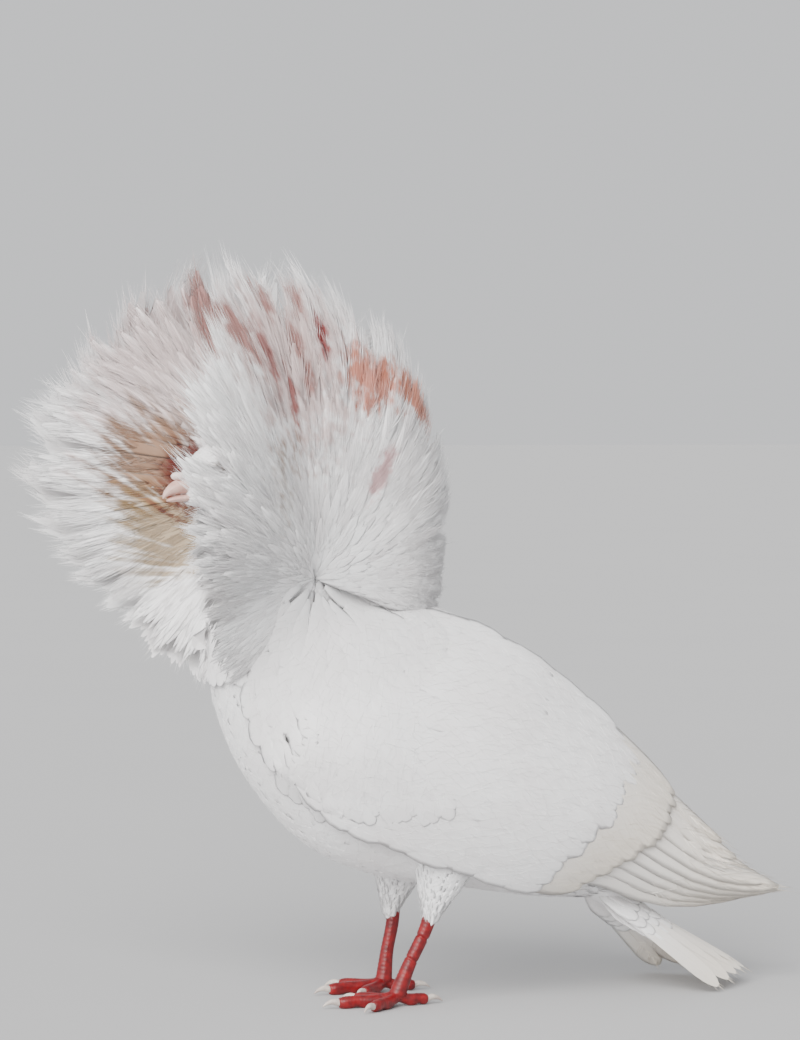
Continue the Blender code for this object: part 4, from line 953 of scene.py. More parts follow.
def set_points(mesh, points):
    """Writes an array of points back into a mesh."""
    mesh.vertices.foreach_set("co", np.ascontiguousarray(points).ravel())
    mesh.update()


def unwrap(mesh):
    """Gives a mesh the map OFBake, an unwrap of its own shape in flat islands."""
    item = bpy.data.objects.new("in_work", mesh)
    bpy.context.scene.collection.objects.link(item)
    bpy.context.view_layer.objects.active = item
    item.select_set(True)
    mesh.uv_layers.new(name="OFBake")
    bpy.ops.object.mode_set(mode="EDIT")
    bpy.ops.mesh.select_all(action="SELECT")
    bpy.ops.uv.smart_project(angle_limit=math.radians(66), island_margin=0.004)
    bpy.ops.object.mode_set(mode="OBJECT")
    bpy.data.objects.remove(item)


def build_skin(material):
    """One skin with no seam: the flesh joined by a voxel remesh, smoothed, and sunk under the coat."""
    mesh = modified(skin_sources(), *one_skin(SKIN_VOXEL, 4))
    points = points_of(mesh)
    head = np.linalg.norm(points - ruff_world(0.034, 0.0, 0.262), axis=1)
    depth = COAT_DEPTH - (COAT_DEPTH - HEAD_COAT_DEPTH) * (1 - soft_step(head, 0.016, 0.030))
    set_points(mesh, points - normals_of(mesh) * depth[:, None])
    unwrap(mesh)
    show(mesh, "skin", material, ["torso", "neck", "head", "thigh_left", "thigh_right"])


# Wings and tail

# Rows of wing feathers: count, root (along, down) of the first and last, tip of the first and last,
# bow of the row's tips, lift of root and tip, half width, barbs
WING_ROWS = (
    (9, ((0.40, 0.20), (0.44, 0.86)), ((0.86, 0.04), (0.965, 0.93)), 0.060, -0.0036, -0.0022, 0.0074),
    (13, ((0.32, 0.06), (0.34, 0.92)), ((0.735, 0.03), (0.62, 0.965)), 0.030, -0.0010, 0.0001, 0.0088),
    (16, ((0.26, 0.06), (0.26, 0.94)), ((0.53, 0.03), (0.43, 0.97)), 0.020, -0.0006, 0.0003, 0.0084),
    (16, ((0.20, 0.06), (0.18, 0.94)), ((0.42, 0.03), (0.33, 0.97)), 0.015, -0.0003, 0.0006, 0.0080),
)


# Share of the wing's length that the small coverts reach
LAST_COVERT = 0.52


def wing_patch(side, start):
    """Places on the bake map of feathers rooted at (down, along) on a wing."""
    return np.stack((0.52 + 0.4 * start[:, 0], 0.1 + 0.25 * (side + 1) + 0.4 * start[:, 1]), axis=1)


def wing_rows(side, rng):
    """Primaries, secondaries and two rows of coverts, as spines with their sizes."""
    surface = wing_surface(side)
    rows = []
    for number, (count, roots, tips, bow, low, high, half) in enumerate(WING_ROWS):
        f = np.linspace(0, 1, count)[:, None]
        root = np.array(roots[0]) * (1 - f) + np.array(roots[1]) * f
        tip = np.array(tips[0]) * (1 - f) + np.array(tips[1]) * f
        tip[:, 0] += bow * np.sin(np.pi * f[:, 0]) + rng.uniform(-0.006, 0.006, count)
        stack = np.linspace(0.0002, -0.0002, count) * (1 if number else 4.0)
        spine = spines(surface, root[:, ::-1], tip[:, ::-1], (low + stack, high + stack), side, (0.02, 0.01),
                       curl=SINK if number else 0.0)
        rows.append({"spine": spine, "half": np.full(count, half), "tone": rng.normal(0, 0.1, count),
                     "patch": wing_patch(side, root[:, ::-1])})
    return rows


def lesser_coverts(side, rng):
    """Small coverts in staggered rows from the wrist over more than half of the wing."""
    surface = wing_surface(side)
    start = []
    for number, along in enumerate(np.linspace(0.0, LAST_COVERT, 20)):
        edges = surface(np.linspace(0, 1, 9), np.full(9, along))
        count = int(np.linalg.norm(np.diff(edges, axis=0), axis=1).sum() / 0.0056)
        down = (np.arange(count) + 0.25 + (number % 2) / 2 + rng.uniform(-0.15, 0.15, count)) / count
        start.append(np.stack((down, np.full(count, along) + rng.uniform(-0.006, 0.006, count)), axis=1))
    start = np.concatenate(start)
    inside = (start[:, 0] > 0.01) & (start[:, 0] < 0.99)
    start = start[inside & (start[:, 1] < LAST_COVERT - 0.10 * start[:, 0])]
    count = len(start)
    share = start[:, 1] / LAST_COVERT
    end = start + np.stack((rng.normal(0.0, 0.01, count), 0.085 + 0.06 * share), axis=1)
    high = 0.0009 - 0.0006 * share + rng.normal(0, 0.00003, count)
    spine = spines(surface, start, end, (high - 0.0008, high), side, (0.02, 0.01), curl=SINK)
    return {"spine": spine, "half": np.full(count, 0.0062), "tone": rng.normal(0, 0.08, count),
            "patch": wing_patch(side, start)}


def add_flight(joined, row, rng, barbs, length=0.09, thick=0.0004, shaft=0.0005, camber=0.05):
    """Flight feathers: long flat vanes with a raised shaft."""
    places = (0, 0.15, 0.30, 0.45, 0.60, 0.72, 0.82, 0.90, 0.96, 1.0)
    add_vanes(joined, row["spine"], row["half"], FLIGHT_OUTLINE, places, row["tone"], row["patch"], thick,
              camber, length)
    t = np.broadcast_to(np.array(places[:-1]), (len(row["half"]), len(places) - 1))
    line, side, normal = (part[:, :, None] for part in at(row["spine"], t))
    turn = np.radians((90, 162, 234, 306, 18))
    radius = (shaft * (1 - 0.85 * t))[..., None, None]
    around = side * np.cos(turn)[:, None] + normal * np.sin(turn)[:, None]
    values = feather_values(row["spine"][0][:, 0], row["tone"][:, None, None] + 0.5, row["patch"],
                            t[..., None], np.zeros(5), (0.005, length))
    joined.add(line + normal * (thick * 0.4) + radius * around, **values)
    add_barbs(joined, row["spine"], row["half"], barbs, rng, row["tone"], row["patch"], start=0.72,
              spread=1.0, fluff=0.0002, thin=0.6 * thick, rows=4)


def build_wings(flight, plumage):
    """Both wings: long vanes in one piece, coverts in another."""
    for side, word in SIDES:
        rng = np.random.default_rng(SEED + 3)
        rows = wing_rows(side, rng)
        long, coverts = Joined(), Joined()
        add_flight(long, rows[0], rng, 14, shaft=0.0003, camber=0.08)
        add_flight(long, rows[1], rng, 14, thick=0.00010, shaft=0.00010, camber=0.14)
        for row in rows[2:]:
            add_flight(coverts, row, rng, 14, length=0.035, thick=0.00007, shaft=0.00008, camber=0.14)
        add_contour(coverts, lesser_coverts(side, rng), rng, 4)
        show(long, f"flight_feathers_{word}", flight, (f"wing_{word}",))
        show(coverts, f"wing_coverts_{word}", plumage)


def build_tail(flight, plumage):
    """Twelve tail feathers, with rows of coverts over and under their roots."""
    rng = np.random.default_rng(SEED + 4)
    count = TAIL_FEATHERS
    across = np.linspace(-0.90, 0.90, count)
    stack = 0.0016 * (1 - np.abs(across) * 1.2)
    start = np.stack((across * 0.9, np.full(count, 0.02)), axis=1)
    end = np.stack((across, 1.0 + rng.uniform(-0.012, 0.012, count)), axis=1)
    spine = spines(tail_surface, start, end, (stack - 0.001, stack), -1, (0.02, 0.01))
    patch = np.stack((0.55 + 0.2 * across, np.full(count, 0.9)), axis=1)
    row = {"spine": spine, "half": np.full(count, 0.0068), "tone": rng.normal(0, 0.2, count), "patch": patch}
    tail = Joined()
    add_flight(tail, row, rng, 16)
    coverts = Joined()
    for facing in (-1, 1):
        for number, along in enumerate((0.02, 0.10, 0.18, 0.27)):
            places = np.linspace(-0.85, 0.85, 8 + number % 2)
            each = np.ones(len(places))
            start = np.stack((places, each * (along - 0.10)), axis=1)
            end = np.stack((places, each * (along + 0.22)), axis=1)
            lift = (0.0, 0.0030 - 0.0007 * number + rng.normal(0, 0.0001, len(places)))
            spine = spines(tail_surface, start, end, lift, facing, (0.02, 0.01), curl=SINK)
            patch = np.stack((0.85 + 0.1 * places, each * (0.9 + 0.03 * facing)), axis=1)
            row = {"spine": spine, "half": each * 0.0056, "tone": rng.normal(0, 0.2, len(places)),
                   "patch": patch}
            add_contour(coverts, row, rng, 6, thick=0.00008, camber=0.12)
    show(tail, "tail_feathers", flight, ("tail",))
    show(coverts, "tail_coverts", plumage)


# Face

def ball(radii, turns=40, rows=26):
    """A closed ellipsoid as rings round X: the radii times the cosine along X and the sine across it."""
    polar = np.linspace(0.02, math.pi - 0.02, rows)[:, None]
    turn = np.linspace(0, 2 * math.pi, turns, endpoint=False)[None]
    x = np.cos(polar) + 0 * turn
    y = np.sin(polar) * np.cos(turn)
    z = np.sin(polar) * np.sin(turn)
    return np.stack((x, y, z), axis=-1) * np.array(radii)


def in_ruff(points, place, side):
    """Points about a place of the ruff's frame, with X forward and Y across, put on the bird."""
    return ruff_world(place[0] + points[..., 0], side * (place[1] + points[..., 1]),
                      place[2] + points[..., 2])


def build_eyes(eye, lid):
    """Round eyeballs, each in a ring of lids with three folds: a circle of circles, wider than high."""
    for side, word in SIDES:
        globe = Joined()
        globe.add(in_ruff(ball((EYE_RADIUS,) * 3)[..., [1, 0, 2]], EYE_PLACE, side)[None])
        show(globe, f"eyeball_{word}", eye, (f"eye_{word}",))
        ring = np.linspace(0, 2 * math.pi, 56, endpoint=False)[:, None]
        section = np.linspace(0, 2 * math.pi, 22, endpoint=False)[None]
        fold = 1 + 0.16 * np.cos(3 * section) + 0.05 * np.sin(17 * ring)
        thick = 0.00085 * fold * (1 + 0.25 * np.cos(ring) ** 2)
        radius = 0.00405 + thick * np.cos(section)
        high = 0.86 - 0.06 * np.sin(ring)
        points = np.stack((radius * np.cos(ring), 0.0022 + thick * np.sin(section) + 0 * ring,
                           radius * np.sin(ring) * high), axis=-1)
        lids = Joined()
        lids.add(np.concatenate((points, points[:1]))[None])
        mesh = modified(lids.mesh(f"eyelids_{word}"), ("WELD", {"merge_threshold": 1e-6}))
        set_points(mesh, in_ruff(points_of(mesh), EYE_PLACE, side))
        show(mesh, f"eyelids_{word}", lid)


def build_bill(horn, flesh):
    """Bill in two halves and the two lobes of the cere over it."""
    upper, lower = Joined(), Joined()
    for half, rows, word in ((upper, BILL_UPPER, "upper"), (lower, BILL_LOWER, "lower")):
        half.add(rings_of(head_shape(rows), 36, 30))
        show(half, f"{word}_bill", horn, (f"bill_{word}",))
    cere = Joined()
    for side, _ in SIDES:
        lobe = ball(CERE_RADII, 36, 24)
        bumps = 1 + 0.05 * np.sin(lobe[..., :1] * 5200) * np.sin(lobe[..., 2:] * 6100 + 1)
        cere.add(in_ruff(lobe * bumps, CERE_PLACE, side)[None])
    show(cere, "cere_lobes", flesh, ("cere",))


# Legs

def tube(points, radii, sides, squash=1.0):
    """A closed round tube: rings of given radii square to a line of points."""
    points = np.asarray(points)
    ahead = unit(np.gradient(points, axis=0))
    helper = np.where(np.abs(ahead[:, 2:]) < 0.9, (0.0, 0.0, 1.0), (1.0, 0.0, 0.0))
    side = unit(np.cross(ahead, helper))
    up = np.cross(side, ahead)
    turn = np.linspace(0, 2 * math.pi, sides, endpoint=False)[None, :, None]
    radii = np.asarray(radii)[:, None, None]
    return points[:, None] + radii * (side[:, None] * np.cos(turn) + up[:, None] * squash * np.sin(turn))


def finer(points, radii, count):
    """A line of points with radii, read as a smooth curve at count even places."""
    rows = read_rows(np.column_stack((points, radii)), np.linspace(0, len(radii) - 1, count))
    return rows[:, :3], rows[:, 3]


def leg_lines(word, side):
    """Middle lines and radii of a leg's shank and four toes, and the claws' roots and ways."""
    _, hock, foot = LEGS[word]
    shares = np.array((0.0, 0.22, 0.45, 0.68, 0.88, 1.0))
    rises = np.array((0.0024, 0.0010, 0.0, 0.0005, 0.0, 0.0))
    swell = np.array((0.95, 0.86, 1.0, 0.84, 0.92, 0.72))
    start = moved(hock[0], side * hock[1], hock[2] + 0.002)
    end = moved(foot[0], side * foot[1], TOE_HEIGHT + 0.0032)
    path = [start, (start * 2 + end) / 3 + np.array((0.0012, 0, 0)), (start + end * 2) / 3, end]
    lines = [("shank", *finer(np.array(path), SHANK_RADII, 40))]
    claws = []
    for name, turn, length, radius in TOES:
        angle = math.radians(turn) * -side
        way = np.array((-math.cos(angle), math.sin(angle), 0))
        base = moved(foot[0], side * foot[1], TOE_HEIGHT)
        points = base + way * (length * shares)[:, None] + rises[:, None] * UP
        lines.append((name, *finer(points, radius * swell, 40)))
        claws.append((points[-1], way))
    return lines, claws


def scutes(points, normals, lines):
    """How far the leg's scales stand out: rounded plates in front of each line, small grains behind.

    For each point the nearest place on the lines is found, s along the line and the angle round it. A
    plate's height is |sin(pi s / period)|^0.35, and a grain's is the root of a sine of s times a sine of
    the angle. How far the point faces forwards or up blends the two.
    """
    best = np.full(len(points), np.inf)
    height = np.zeros(len(points))
    for name, line, radii in lines:
        gap = np.linalg.norm(points[:, None] - line[None], axis=2) - radii[None]
        nearest = gap.argmin(axis=1)
        close = gap[np.arange(len(points)), nearest]
        travelled = np.concatenate(([0], np.cumsum(np.linalg.norm(np.diff(line, axis=0), axis=1))))
        way = unit(np.gradient(line, axis=0))[nearest]
        s = travelled[nearest] + ((points - line[nearest]) * way).sum(axis=1)
        facing = -normals[:, 0] if name == "shank" else normals[:, 2]
        front = soft_step(facing, -0.15, 0.45)
        period = SHANK_PLATE if name == "shank" else TOE_PLATE
        plate = np.abs(np.sin(math.pi * s / period)) ** 0.35
        around = np.arctan2(normals[:, 1], normals[:, 0] if name == "shank" else normals[:, 2])
        grain = np.abs(np.sin(math.pi * s / 0.0012) * np.sin(around * 6)) ** 0.5
        value = PLATE_HEIGHT * (plate * front + 0.45 * grain * (1 - front))
        height = np.where(close < best, value, height)
        best = np.minimum(best, close)
    return height


def build_legs(leg_skin, horn):
    """Scaly shanks and toes as one skin a leg, and a curved claw on each toe."""
    for side, word in SIDES:
        lines, claws = leg_lines(word, side)
        parts = Joined()
        for _, line, radii in lines:
            parts.add(tube(line, radii - PLATE_HEIGHT, 20)[None])
        mesh = modified(parts.mesh("leg_parts"), *one_skin(LEG_VOXEL, 3))
        points, normals = points_of(mesh), normals_of(mesh)
        points = points + normals * scutes(points, normals, lines)[:, None]
        points[:, 2] = np.maximum(points[:, 2], 0.0)
        set_points(mesh, points)
        show(mesh, f"leg_{word}", leg_skin, (f"foot_{word}",))
        horns = Joined()
        shares = np.array((-0.12, 0.0, 0.35, 0.7, 1.0))
        rises = np.array((0.0002, 0.0002, 0.0008, 0.0001, -0.0016))
        for tip, way in claws:
            path = tip + way * (CLAW_LENGTH * shares)[:, None] + rises[:, None] * UP
            line, radii = finer(path, CLAW_RADIUS * np.array((0.9, 1.0, 0.82, 0.52, 0.10)), 26)
            horns.add(tube(line, radii, 14, 1.12)[None])
        show(horns, f"claws_{word}", horn, [f"claw_{word}_{name}" for name, *_ in TOES])


# Materials

def new_material(name):
    """A node material with only its Principled shader and its output."""
    material = bpy.data.materials.new(name)
    material.use_nodes = True
    return material, material.node_tree, material.node_tree.nodes["Principled BSDF"]


def node(tree, kind, inputs=None, **settings):
    """Adds a node, sets its settings and input values, and links inputs that are sockets."""
    item = tree.nodes.new(kind)
    for key, value in settings.items():
        setattr(item, key, value)
    for key, value in (inputs or {}).items():
        if isinstance(value, bpy.types.NodeSocket):
            tree.links.new(value, item.inputs[key])
        else:
            item.inputs[key].default_value = value
    return item


def math_node(tree, operation, *values):
    """A Math node's output."""
    return node(tree, "ShaderNodeMath", dict(enumerate(values)), operation=operation).outputs[0]


def mix_colour(tree, share, first, second):
    """A colour mix's output, with plain colours given as three numbers."""
    first, second = (colour if isinstance(colour, bpy.types.NodeSocket) else (*colour, 1)
                     for colour in (first, second))
    return node(tree, "ShaderNodeMix", {0: share, 6: first, 7: second}, data_type="RGBA").outputs[2]


def noise_at(tree, place, scale, detail):
    """A noise texture's value at a place."""
    return node(tree, "ShaderNodeTexNoise", {"Vector": place, "Scale": scale, "Detail": detail}).outputs[0]


def object_place(tree):
    """The shaded point in the piece's own coordinates."""
    return node(tree, "ShaderNodeTexCoord").outputs["Object"]


def finish_shader(tree, shader, colour, relief=None, **values):
    """Links a colour and a bump (height, strength, depth) to a shader, and sets its other values."""
    tree.links.new(colour, shader.inputs["Base Color"])
    if relief:
        height, strength, depth = relief
        bump = node(tree, "ShaderNodeBump", {"Height": height, "Strength": strength, "Distance": depth})
        tree.links.new(bump.outputs[0], shader.inputs["Normal"])
    for key, value in values.items():
        shader.inputs[key.replace("_", " ")].default_value = value


def group_tree(name, inputs, output):
    """A new node group with its named sockets: the tree, the input sockets and the output's socket."""
    tree = bpy.data.node_groups.new(name, "ShaderNodeTree")
    for word, kind in inputs.items():
        tree.interface.new_socket(word, in_out="INPUT", socket_type=f"NodeSocket{kind}")
    tree.interface.new_socket(output[0], in_out="OUTPUT", socket_type=f"NodeSocket{output[1]}")
    source, target = tree.nodes.new("NodeGroupInput"), tree.nodes.new("NodeGroupOutput")
    return tree, [source.outputs[word] for word in inputs], target.inputs[output[0]]


def ramp(tree, value, stops):
    """A colour ramp's output, with stops as place and colour or place and grey."""
    item = node(tree, "ShaderNodeValToRGB", {0: value})
    points = item.color_ramp.elements
    while len(points) < len(stops):
        points.new(0.5)
    for point, (place, colour) in zip(points, stops):
        point.position = place
        point.color = (*colour, 1) if isinstance(colour, tuple) else (colour, colour, colour, 1)
    return item.outputs[0]


# Markings on the plumage and patches of painted shade: side and layer of the ruff that each lies on, angle
# and reach of its middle, half size along the plumes and across them, colour and strength
MARKINGS_AND_PAINTED_SHADE = (
    # The first two rows are painted shade, not feather colour: broad rosy tints over the near hood and the
    # far lining, standing in for shadows lit by reddish surroundings. The rows after them are the bird's own
    # rust, rose, tan and red-brown feathers.
    (-1, "shell", 80, 0.66, 0.045, 0.050, (0.46, 0.24, 0.21), 0.52),
    (1, "lining", 62, 0.60, 0.040, 0.050, (0.50, 0.31, 0.29), 0.50),
    (1, "lining", 76, 0.75, 0.024, 0.010, (0.30, 0.11, 0.09), 0.85),
    (-1, "shell", 66, 0.88, 0.024, 0.009, (0.30, 0.11, 0.09), 0.85),
    (-1, "shell", 72, 0.72, 0.020, 0.006, (0.28, 0.08, 0.07), 0.85),
    (-1, "shell", 78, 0.86, 0.020, 0.005, (0.30, 0.11, 0.09), 0.80),
    (-1, "shell", 84, 0.66, 0.022, 0.005, (0.32, 0.11, 0.09), 0.80),
    (-1, "shell", 88, 0.86, 0.018, 0.004, (0.32, 0.11, 0.09), 0.75),
    (-1, "shell", 77, 0.56, 0.014, 0.004, (0.28, 0.04, 0.03), 0.80),
    (-1, "shell", 92, 0.74, 0.015, 0.005, (0.24, 0.015, 0.015), 0.95),
    (-1, "shell", 108, 0.69, 0.016, 0.020, (0.54, 0.17, 0.10), 0.85),
    (-1, "shell", 124, 0.80, 0.013, 0.020, (0.56, 0.18, 0.10), 0.90),
    (1, "shell", 114, 0.74, 0.013, 0.020, (0.52, 0.16, 0.09), 0.80),
    (-1, "shell", 122, 0.44, 0.015, 0.005, (0.52, 0.24, 0.25), 0.70),
    (1, "lining", 36, 0.40, 0.028, 0.028, (0.22, 0.11, 0.05), 0.92),
    (1, "lining", 4, 0.42, 0.024, 0.026, (0.28, 0.18, 0.07), 0.85),
    (-1, "lining", 28, 0.44, 0.022, 0.026, (0.28, 0.16, 0.08), 0.70),
    (1, "lining", 28, 0.22, 0.022, 0.020, (0.10, 0.012, 0.008), 0.97),
    (-1, "lining", 36, 0.10, 0.014, 0.014, (0.11, 0.014, 0.009), 0.95),
)
WHITE = (0.94, 0.94, 0.945)
SHADE = (0.88, 0.86, 0.86)
# Share of its own place, against its feather's root, at which a point reads the coloured patches and painted
# shade
OWN_PLACE = 0.92
# Colour that the darker strands go towards, and the one that the ends of flight feathers go towards
STRAND_SHADE = (0.50, 0.44, 0.45)
WARM_END = (0.72, 0.63, 0.49)


def patch_place(side, layer, angle, reach):
    """Middle of a marking or of a patch of painted shade, and the direction of the plumes there."""
    surface = shell_surface(side) if layer == "shell" else lining_surface(side)
    middle, past = surface(np.array((angle, angle)), np.array((reach, reach + 0.02)))
    return tuple(middle), tuple(unit(past - middle))


def markings_and_shade_group():
    """Node group: the coat's colour at a place, white with soft patches of rust, rose and tan, and broad
    patches of painted rosy shade.

    A patch's distance is the length of (along / half length, across / half width), roughened by noise,
    by streaks that radiate from the middle of the ruff, and by each strand's own tone.
    """
    tree, (place, tone), painted = group_tree("coat markings", {"Place": "Vector", "Tone": "Float"},
                                              ("Colour", "Color"))
    vector = lambda kind, *values: node(tree, "ShaderNodeVectorMath", dict(enumerate(values)), operation=kind)
    centre = tuple(ruff_world(0.0, 0.0, ROSE_HEIGHT))
    ray = vector("NORMALIZE", vector("SUBTRACT", place, centre).outputs[0]).outputs[0]
    streak = noise_at(tree, ray, 26.0, 3.0)
    broad = ramp(tree, noise_at(tree, place, 22.0, 2.0), ((0.35, 0.0), (0.75, 1.0)))
    colour = mix_colour(tree, broad, WHITE, SHADE)
    shade = node(tree, "ShaderNodeMath", {0: tone, 1: 0.38, 2: 0.07}, operation="MULTIPLY_ADD",
                 use_clamp=True)
    colour = mix_colour(tree, shade.outputs[0], colour, STRAND_SHADE)
    ragged = math_node(tree, "MULTIPLY_ADD", noise_at(tree, place, 90.0, 3.0), 0.8, -0.4)
    ragged = math_node(tree, "MULTIPLY_ADD", tone, 0.22, ragged)
    ragged = math_node(tree, "ADD", ragged, math_node(tree, "MULTIPLY_ADD", streak, 1.8, -0.9))
    # Each patch is mixed in by its mask: the bird's own coloured feathers, and at the first two rows painted
    # rosy shade.
    for side, layer, angle, reach, length, width, paint, strength in MARKINGS_AND_PAINTED_SHADE:
        middle, way = patch_place(side, layer, angle, reach)
        away = vector("SUBTRACT", place, middle).outputs[0]
        along = vector("DOT_PRODUCT", away, way).outputs["Value"]
        on_line = node(tree, "ShaderNodeVectorMath", {0: way, "Scale": along}, operation="SCALE").outputs[0]
        across = vector("LENGTH", vector("SUBTRACT", away, on_line).outputs[0]).outputs["Value"]
        shares = node(tree, "ShaderNodeCombineXYZ", {0: math_node(tree, "DIVIDE", along, length),
                                                     1: math_node(tree, "DIVIDE", across, width)})
        distance = vector("LENGTH", shares.outputs[0]).outputs["Value"]
        distance = math_node(tree, "ADD", distance, ragged)
        mask = node(tree, "ShaderNodeMapRange", {0: distance, 1: 0.45, 2: 1.25, 3: strength, 4: 0.0},
                    interpolation_type="SMOOTHSTEP").outputs[0]
        colour = mix_colour(tree, mask, colour, paint)
    tree.links.new(colour, painted)
    return tree


def barb_group():
    """Node group: the height of fine barbs on a vane, slanted lines each side of its shaft."""
    tree, (lie, spacing), height = group_tree("barb lines", {"Lie": "Vector", "Spacing": "Float"},
                                              ("Height", "Float"))
    split = node(tree, "ShaderNodeSeparateXYZ", {0: lie})
    out = math_node(tree, "ABSOLUTE", split.outputs[0])
    slant = math_node(tree, "SUBTRACT", split.outputs[1], math_node(tree, "MULTIPLY", out, 1.4))
    tree.links.new(math_node(tree, "SINE", math_node(tree, "DIVIDE", slant, spacing)), height)
    return tree


def coat_material(name, markings_and_shade, barbs, roughness, spacing, bump, warm=0.0):
    """Feathers: the coloured patches and painted rosy shade near the point, barb lines as bump, a soft sheen,
    and warmer ends by warm.
    """
    material, tree, shader = new_material(name)
    root = node(tree, "ShaderNodeAttribute", attribute_name="root").outputs["Vector"]
    tone = node(tree, "ShaderNodeAttribute", attribute_name="tone").outputs["Fac"]
    lie = node(tree, "ShaderNodeAttribute", attribute_name="lie").outputs["Vector"]
    mix = node(tree, "ShaderNodeMix", {0: OWN_PLACE, 4: root, 5: object_place(tree)}, data_type="VECTOR")
    paint = node(tree, "ShaderNodeGroup", node_tree=markings_and_shade)
    tree.links.new(mix.outputs[1], paint.inputs["Place"])
    tree.links.new(tone, paint.inputs["Tone"])
    colour = paint.outputs["Colour"]
    if warm:
        share = node(tree, "ShaderNodeSeparateXYZ", {0: lie}).outputs[2]
        colour = mix_colour(tree, math_node(tree, "MULTIPLY", share, warm), colour, WARM_END)
    lines = node(tree, "ShaderNodeGroup", node_tree=barbs)
    tree.links.new(lie, lines.inputs["Lie"])
    lines.inputs["Spacing"].default_value = spacing
    finish_shader(tree, shader, colour, (lines.outputs["Height"], bump, 0.0002), Roughness=roughness,
                  Sheen_Weight=0.25, Sheen_Roughness=0.5, Specular_IOR_Level=0.25)
    return material


def skin_material(markings_and_shade):
    """Skin under the coat: the same coloured patches and painted rosy shade, with a downy grain."""
    material, tree, shader = new_material("skin")
    here = object_place(tree)
    paint = node(tree, "ShaderNodeGroup", node_tree=markings_and_shade)
    tree.links.new(here, paint.inputs["Place"])
    finish_shader(tree, shader, paint.outputs["Colour"], (noise_at(tree, here, 900.0, 4.0), 0.6, 0.0006),
                  Roughness=0.8, Sheen_Weight=0.2)
    return material


def speckled(name, base, deep, scale, roughness, bump):
    """Horn, scales and bare skin: two tones in soft blotches with a fine grain as bump."""
    material, tree, shader = new_material(name)
    here = object_place(tree)
    blotch = ramp(tree, noise_at(tree, here, scale, 4.0), ((0.35, 0.0), (0.68, 1.0)))
    grain = noise_at(tree, here, scale * 9, 3.0)
    limits = {0: grain, 1: 0.3, 2: 0.7, 3: roughness - 0.08, 4: roughness + 0.1}
    rough = node(tree, "ShaderNodeMapRange", limits)
    tree.links.new(rough.outputs[0], shader.inputs["Roughness"])
    finish_shader(tree, shader, mix_colour(tree, blotch, base, deep), (grain, bump, 0.0002))
    return material


def eye_material():
    """Eye: a black pupil, an orange red iris with fine rays and a dark ring, under a clear coat."""
    material, tree, shader = new_material("eye")
    here = object_place(tree)
    reaches = []
    for side, _ in SIDES:
        front = tuple(in_ruff(np.array((0.0, EYE_RADIUS, 0.0)), EYE_PLACE, side))
        away = node(tree, "ShaderNodeVectorMath", {0: here, 1: front}, operation="DISTANCE")
        reaches.append(away.outputs["Value"])
    share = math_node(tree, "DIVIDE", math_node(tree, "MINIMUM", *reaches), EYE_RADIUS)
    iris = mix_colour(tree, noise_at(tree, here, 2600.0, 2.0), (0.60, 0.13, 0.04), (0.78, 0.30, 0.10))
    colour = mix_colour(tree, ramp(tree, share, ((0.36, 0.0), (0.42, 1.0))), (0.006, 0.005, 0.005), iris)
    colour = mix_colour(tree, ramp(tree, share, ((0.80, 0.0), (0.92, 1.0))), colour, (0.05, 0.02, 0.015))
    finish_shader(tree, shader, colour, Roughness=0.12, Coat_Weight=1.0, Coat_Roughness=0.03)
    return material


# Floor, lights and camera

FRAME_HEIGHT = 0.520
CAMERA_AZIMUTH = math.radians(-20)
CAMERA_DISTANCE = 1.9
CAMERA_RISE = math.radians(1.5)
AIM_HEIGHT = 0.240
# Lights: name, strength, how wide the sun is in degrees, and its tilt and turn in degrees
SUNS = (("soft daylight", 4.6, 50, (56, -40)), ("low fill", 2.7, 90, (84, -58)))
SUN_COLOUR = (1.0, 0.985, 0.96)


def build_camera():
    """A long lens at the photograph's angle, framing 0.52 m of height at the bird."""
    data = bpy.data.cameras.new("camera")
    data.lens = data.sensor_width * CAMERA_DISTANCE / FRAME_HEIGHT
    camera = bpy.data.objects.new("camera", data)
    bpy.context.scene.collection.objects.link(camera)
    aim = -MIDDLE + np.array((0, 0, AIM_HEIGHT))
    level = math.cos(CAMERA_RISE)
    way = np.array((math.sin(CAMERA_AZIMUTH) * level, -math.cos(CAMERA_AZIMUTH) * level,
                    math.sin(CAMERA_RISE)))
    camera.location = aim + way * CAMERA_DISTANCE
    camera.rotation_euler = (math.pi / 2 - CAMERA_RISE, 0, CAMERA_AZIMUTH)
    bpy.context.scene.camera = camera


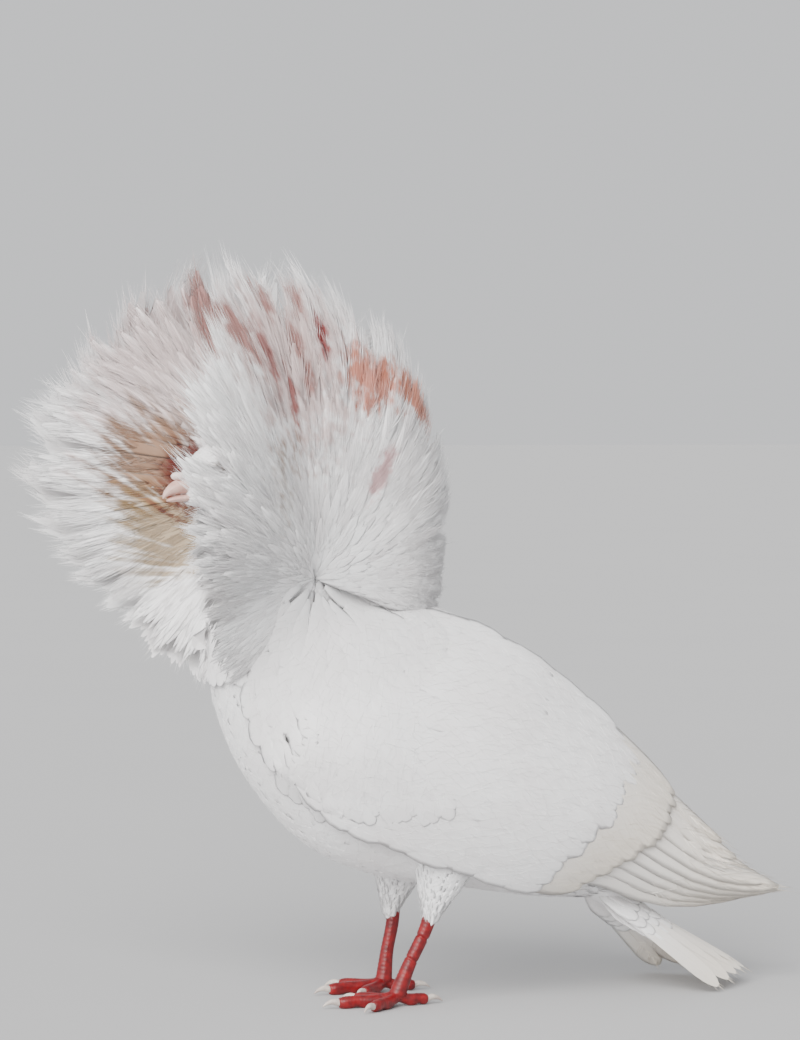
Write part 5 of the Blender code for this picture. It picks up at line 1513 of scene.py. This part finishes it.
def build_stage():
    """A plain pale floor, and soft studio light."""
    x, y = np.meshgrid(np.linspace(-40, 40, 9), np.linspace(-40, 40, 9))
    points = np.stack((x, y, 0 * x), axis=-1)
    index = np.arange(x.size).reshape(x.shape)
    quads = np.stack((index[:-1, :-1], index[:-1, 1:], index[1:, 1:], index[1:, :-1]), axis=-1).reshape(-1, 4)
    mesh = bpy.data.meshes.new("floor")
    mesh.from_pydata(points.reshape(-1, 3).tolist(), [], quads.tolist())
    material, tree, shader = new_material("floor")
    cloud = noise_at(tree, object_place(tree), 3.0, 3.0)
    colour = mix_colour(tree, cloud, (0.45, 0.45, 0.455), (0.47, 0.47, 0.475))
    finish_shader(tree, shader, colour, Roughness=0.8)
    mesh.materials.append(material)
    floor = bpy.data.objects.new("floor", mesh)
    bpy.context.scene.collection.objects.link(floor)
    for name, energy, spread, turn in SUNS:
        sun = bpy.data.lights.new(name, "SUN")
        sun.energy = energy
        sun.angle = math.radians(spread)
        sun.color = SUN_COLOUR
        light = bpy.data.objects.new(name, sun)
        bpy.context.scene.collection.objects.link(light)
        light.rotation_euler = (math.radians(turn[0]), 0, math.radians(turn[1]))
    world = bpy.data.worlds.new("studio")
    bpy.context.scene.world = world
    world.use_nodes = True
    background = world.node_tree.nodes["Background"]
    background.inputs[0].default_value = (0.97, 0.98, 1.0, 1)
    background.inputs[1].default_value = 0.85


def build_bird():
    """Every piece of the bird with its material."""
    markings_and_shade, barbs = markings_and_shade_group(), barb_group()
    ruff = coat_material("ruff plumes", markings_and_shade, barbs, 0.62, 0.00008, 0.10)
    plumage = coat_material("contour feathers", markings_and_shade, barbs, 0.58, 0.00007, 0.12)
    flight = coat_material("flight feathers", markings_and_shade, barbs, 0.50, 0.00009, 0.25, 0.65)
    build_skin(skin_material(markings_and_shade))
    build_ruff(ruff)
    build_body(plumage)
    build_flanks(plumage)
    build_head_coat(plumage)
    build_wings(flight, plumage)
    build_tail(flight, plumage)
    horn = speckled("bill horn", (0.66, 0.44, 0.38), (0.54, 0.30, 0.25), 260, 0.38, 0.15)
    flesh = speckled("bare skin", (0.82, 0.70, 0.67), (0.74, 0.56, 0.53), 500, 0.55, 0.5)
    scale = speckled("leg scales", (0.22, 0.002, 0.004), (0.10, 0.001, 0.003), 320, 0.42, 0.3)
    claw = speckled("claw horn", (0.62, 0.56, 0.50), (0.40, 0.33, 0.30), 300, 0.35, 0.2)
    build_eyes(eye_material(), flesh)
    build_bill(horn, flesh)
    build_legs(scale, claw)


build_camera()
build_stage()
build_bird()
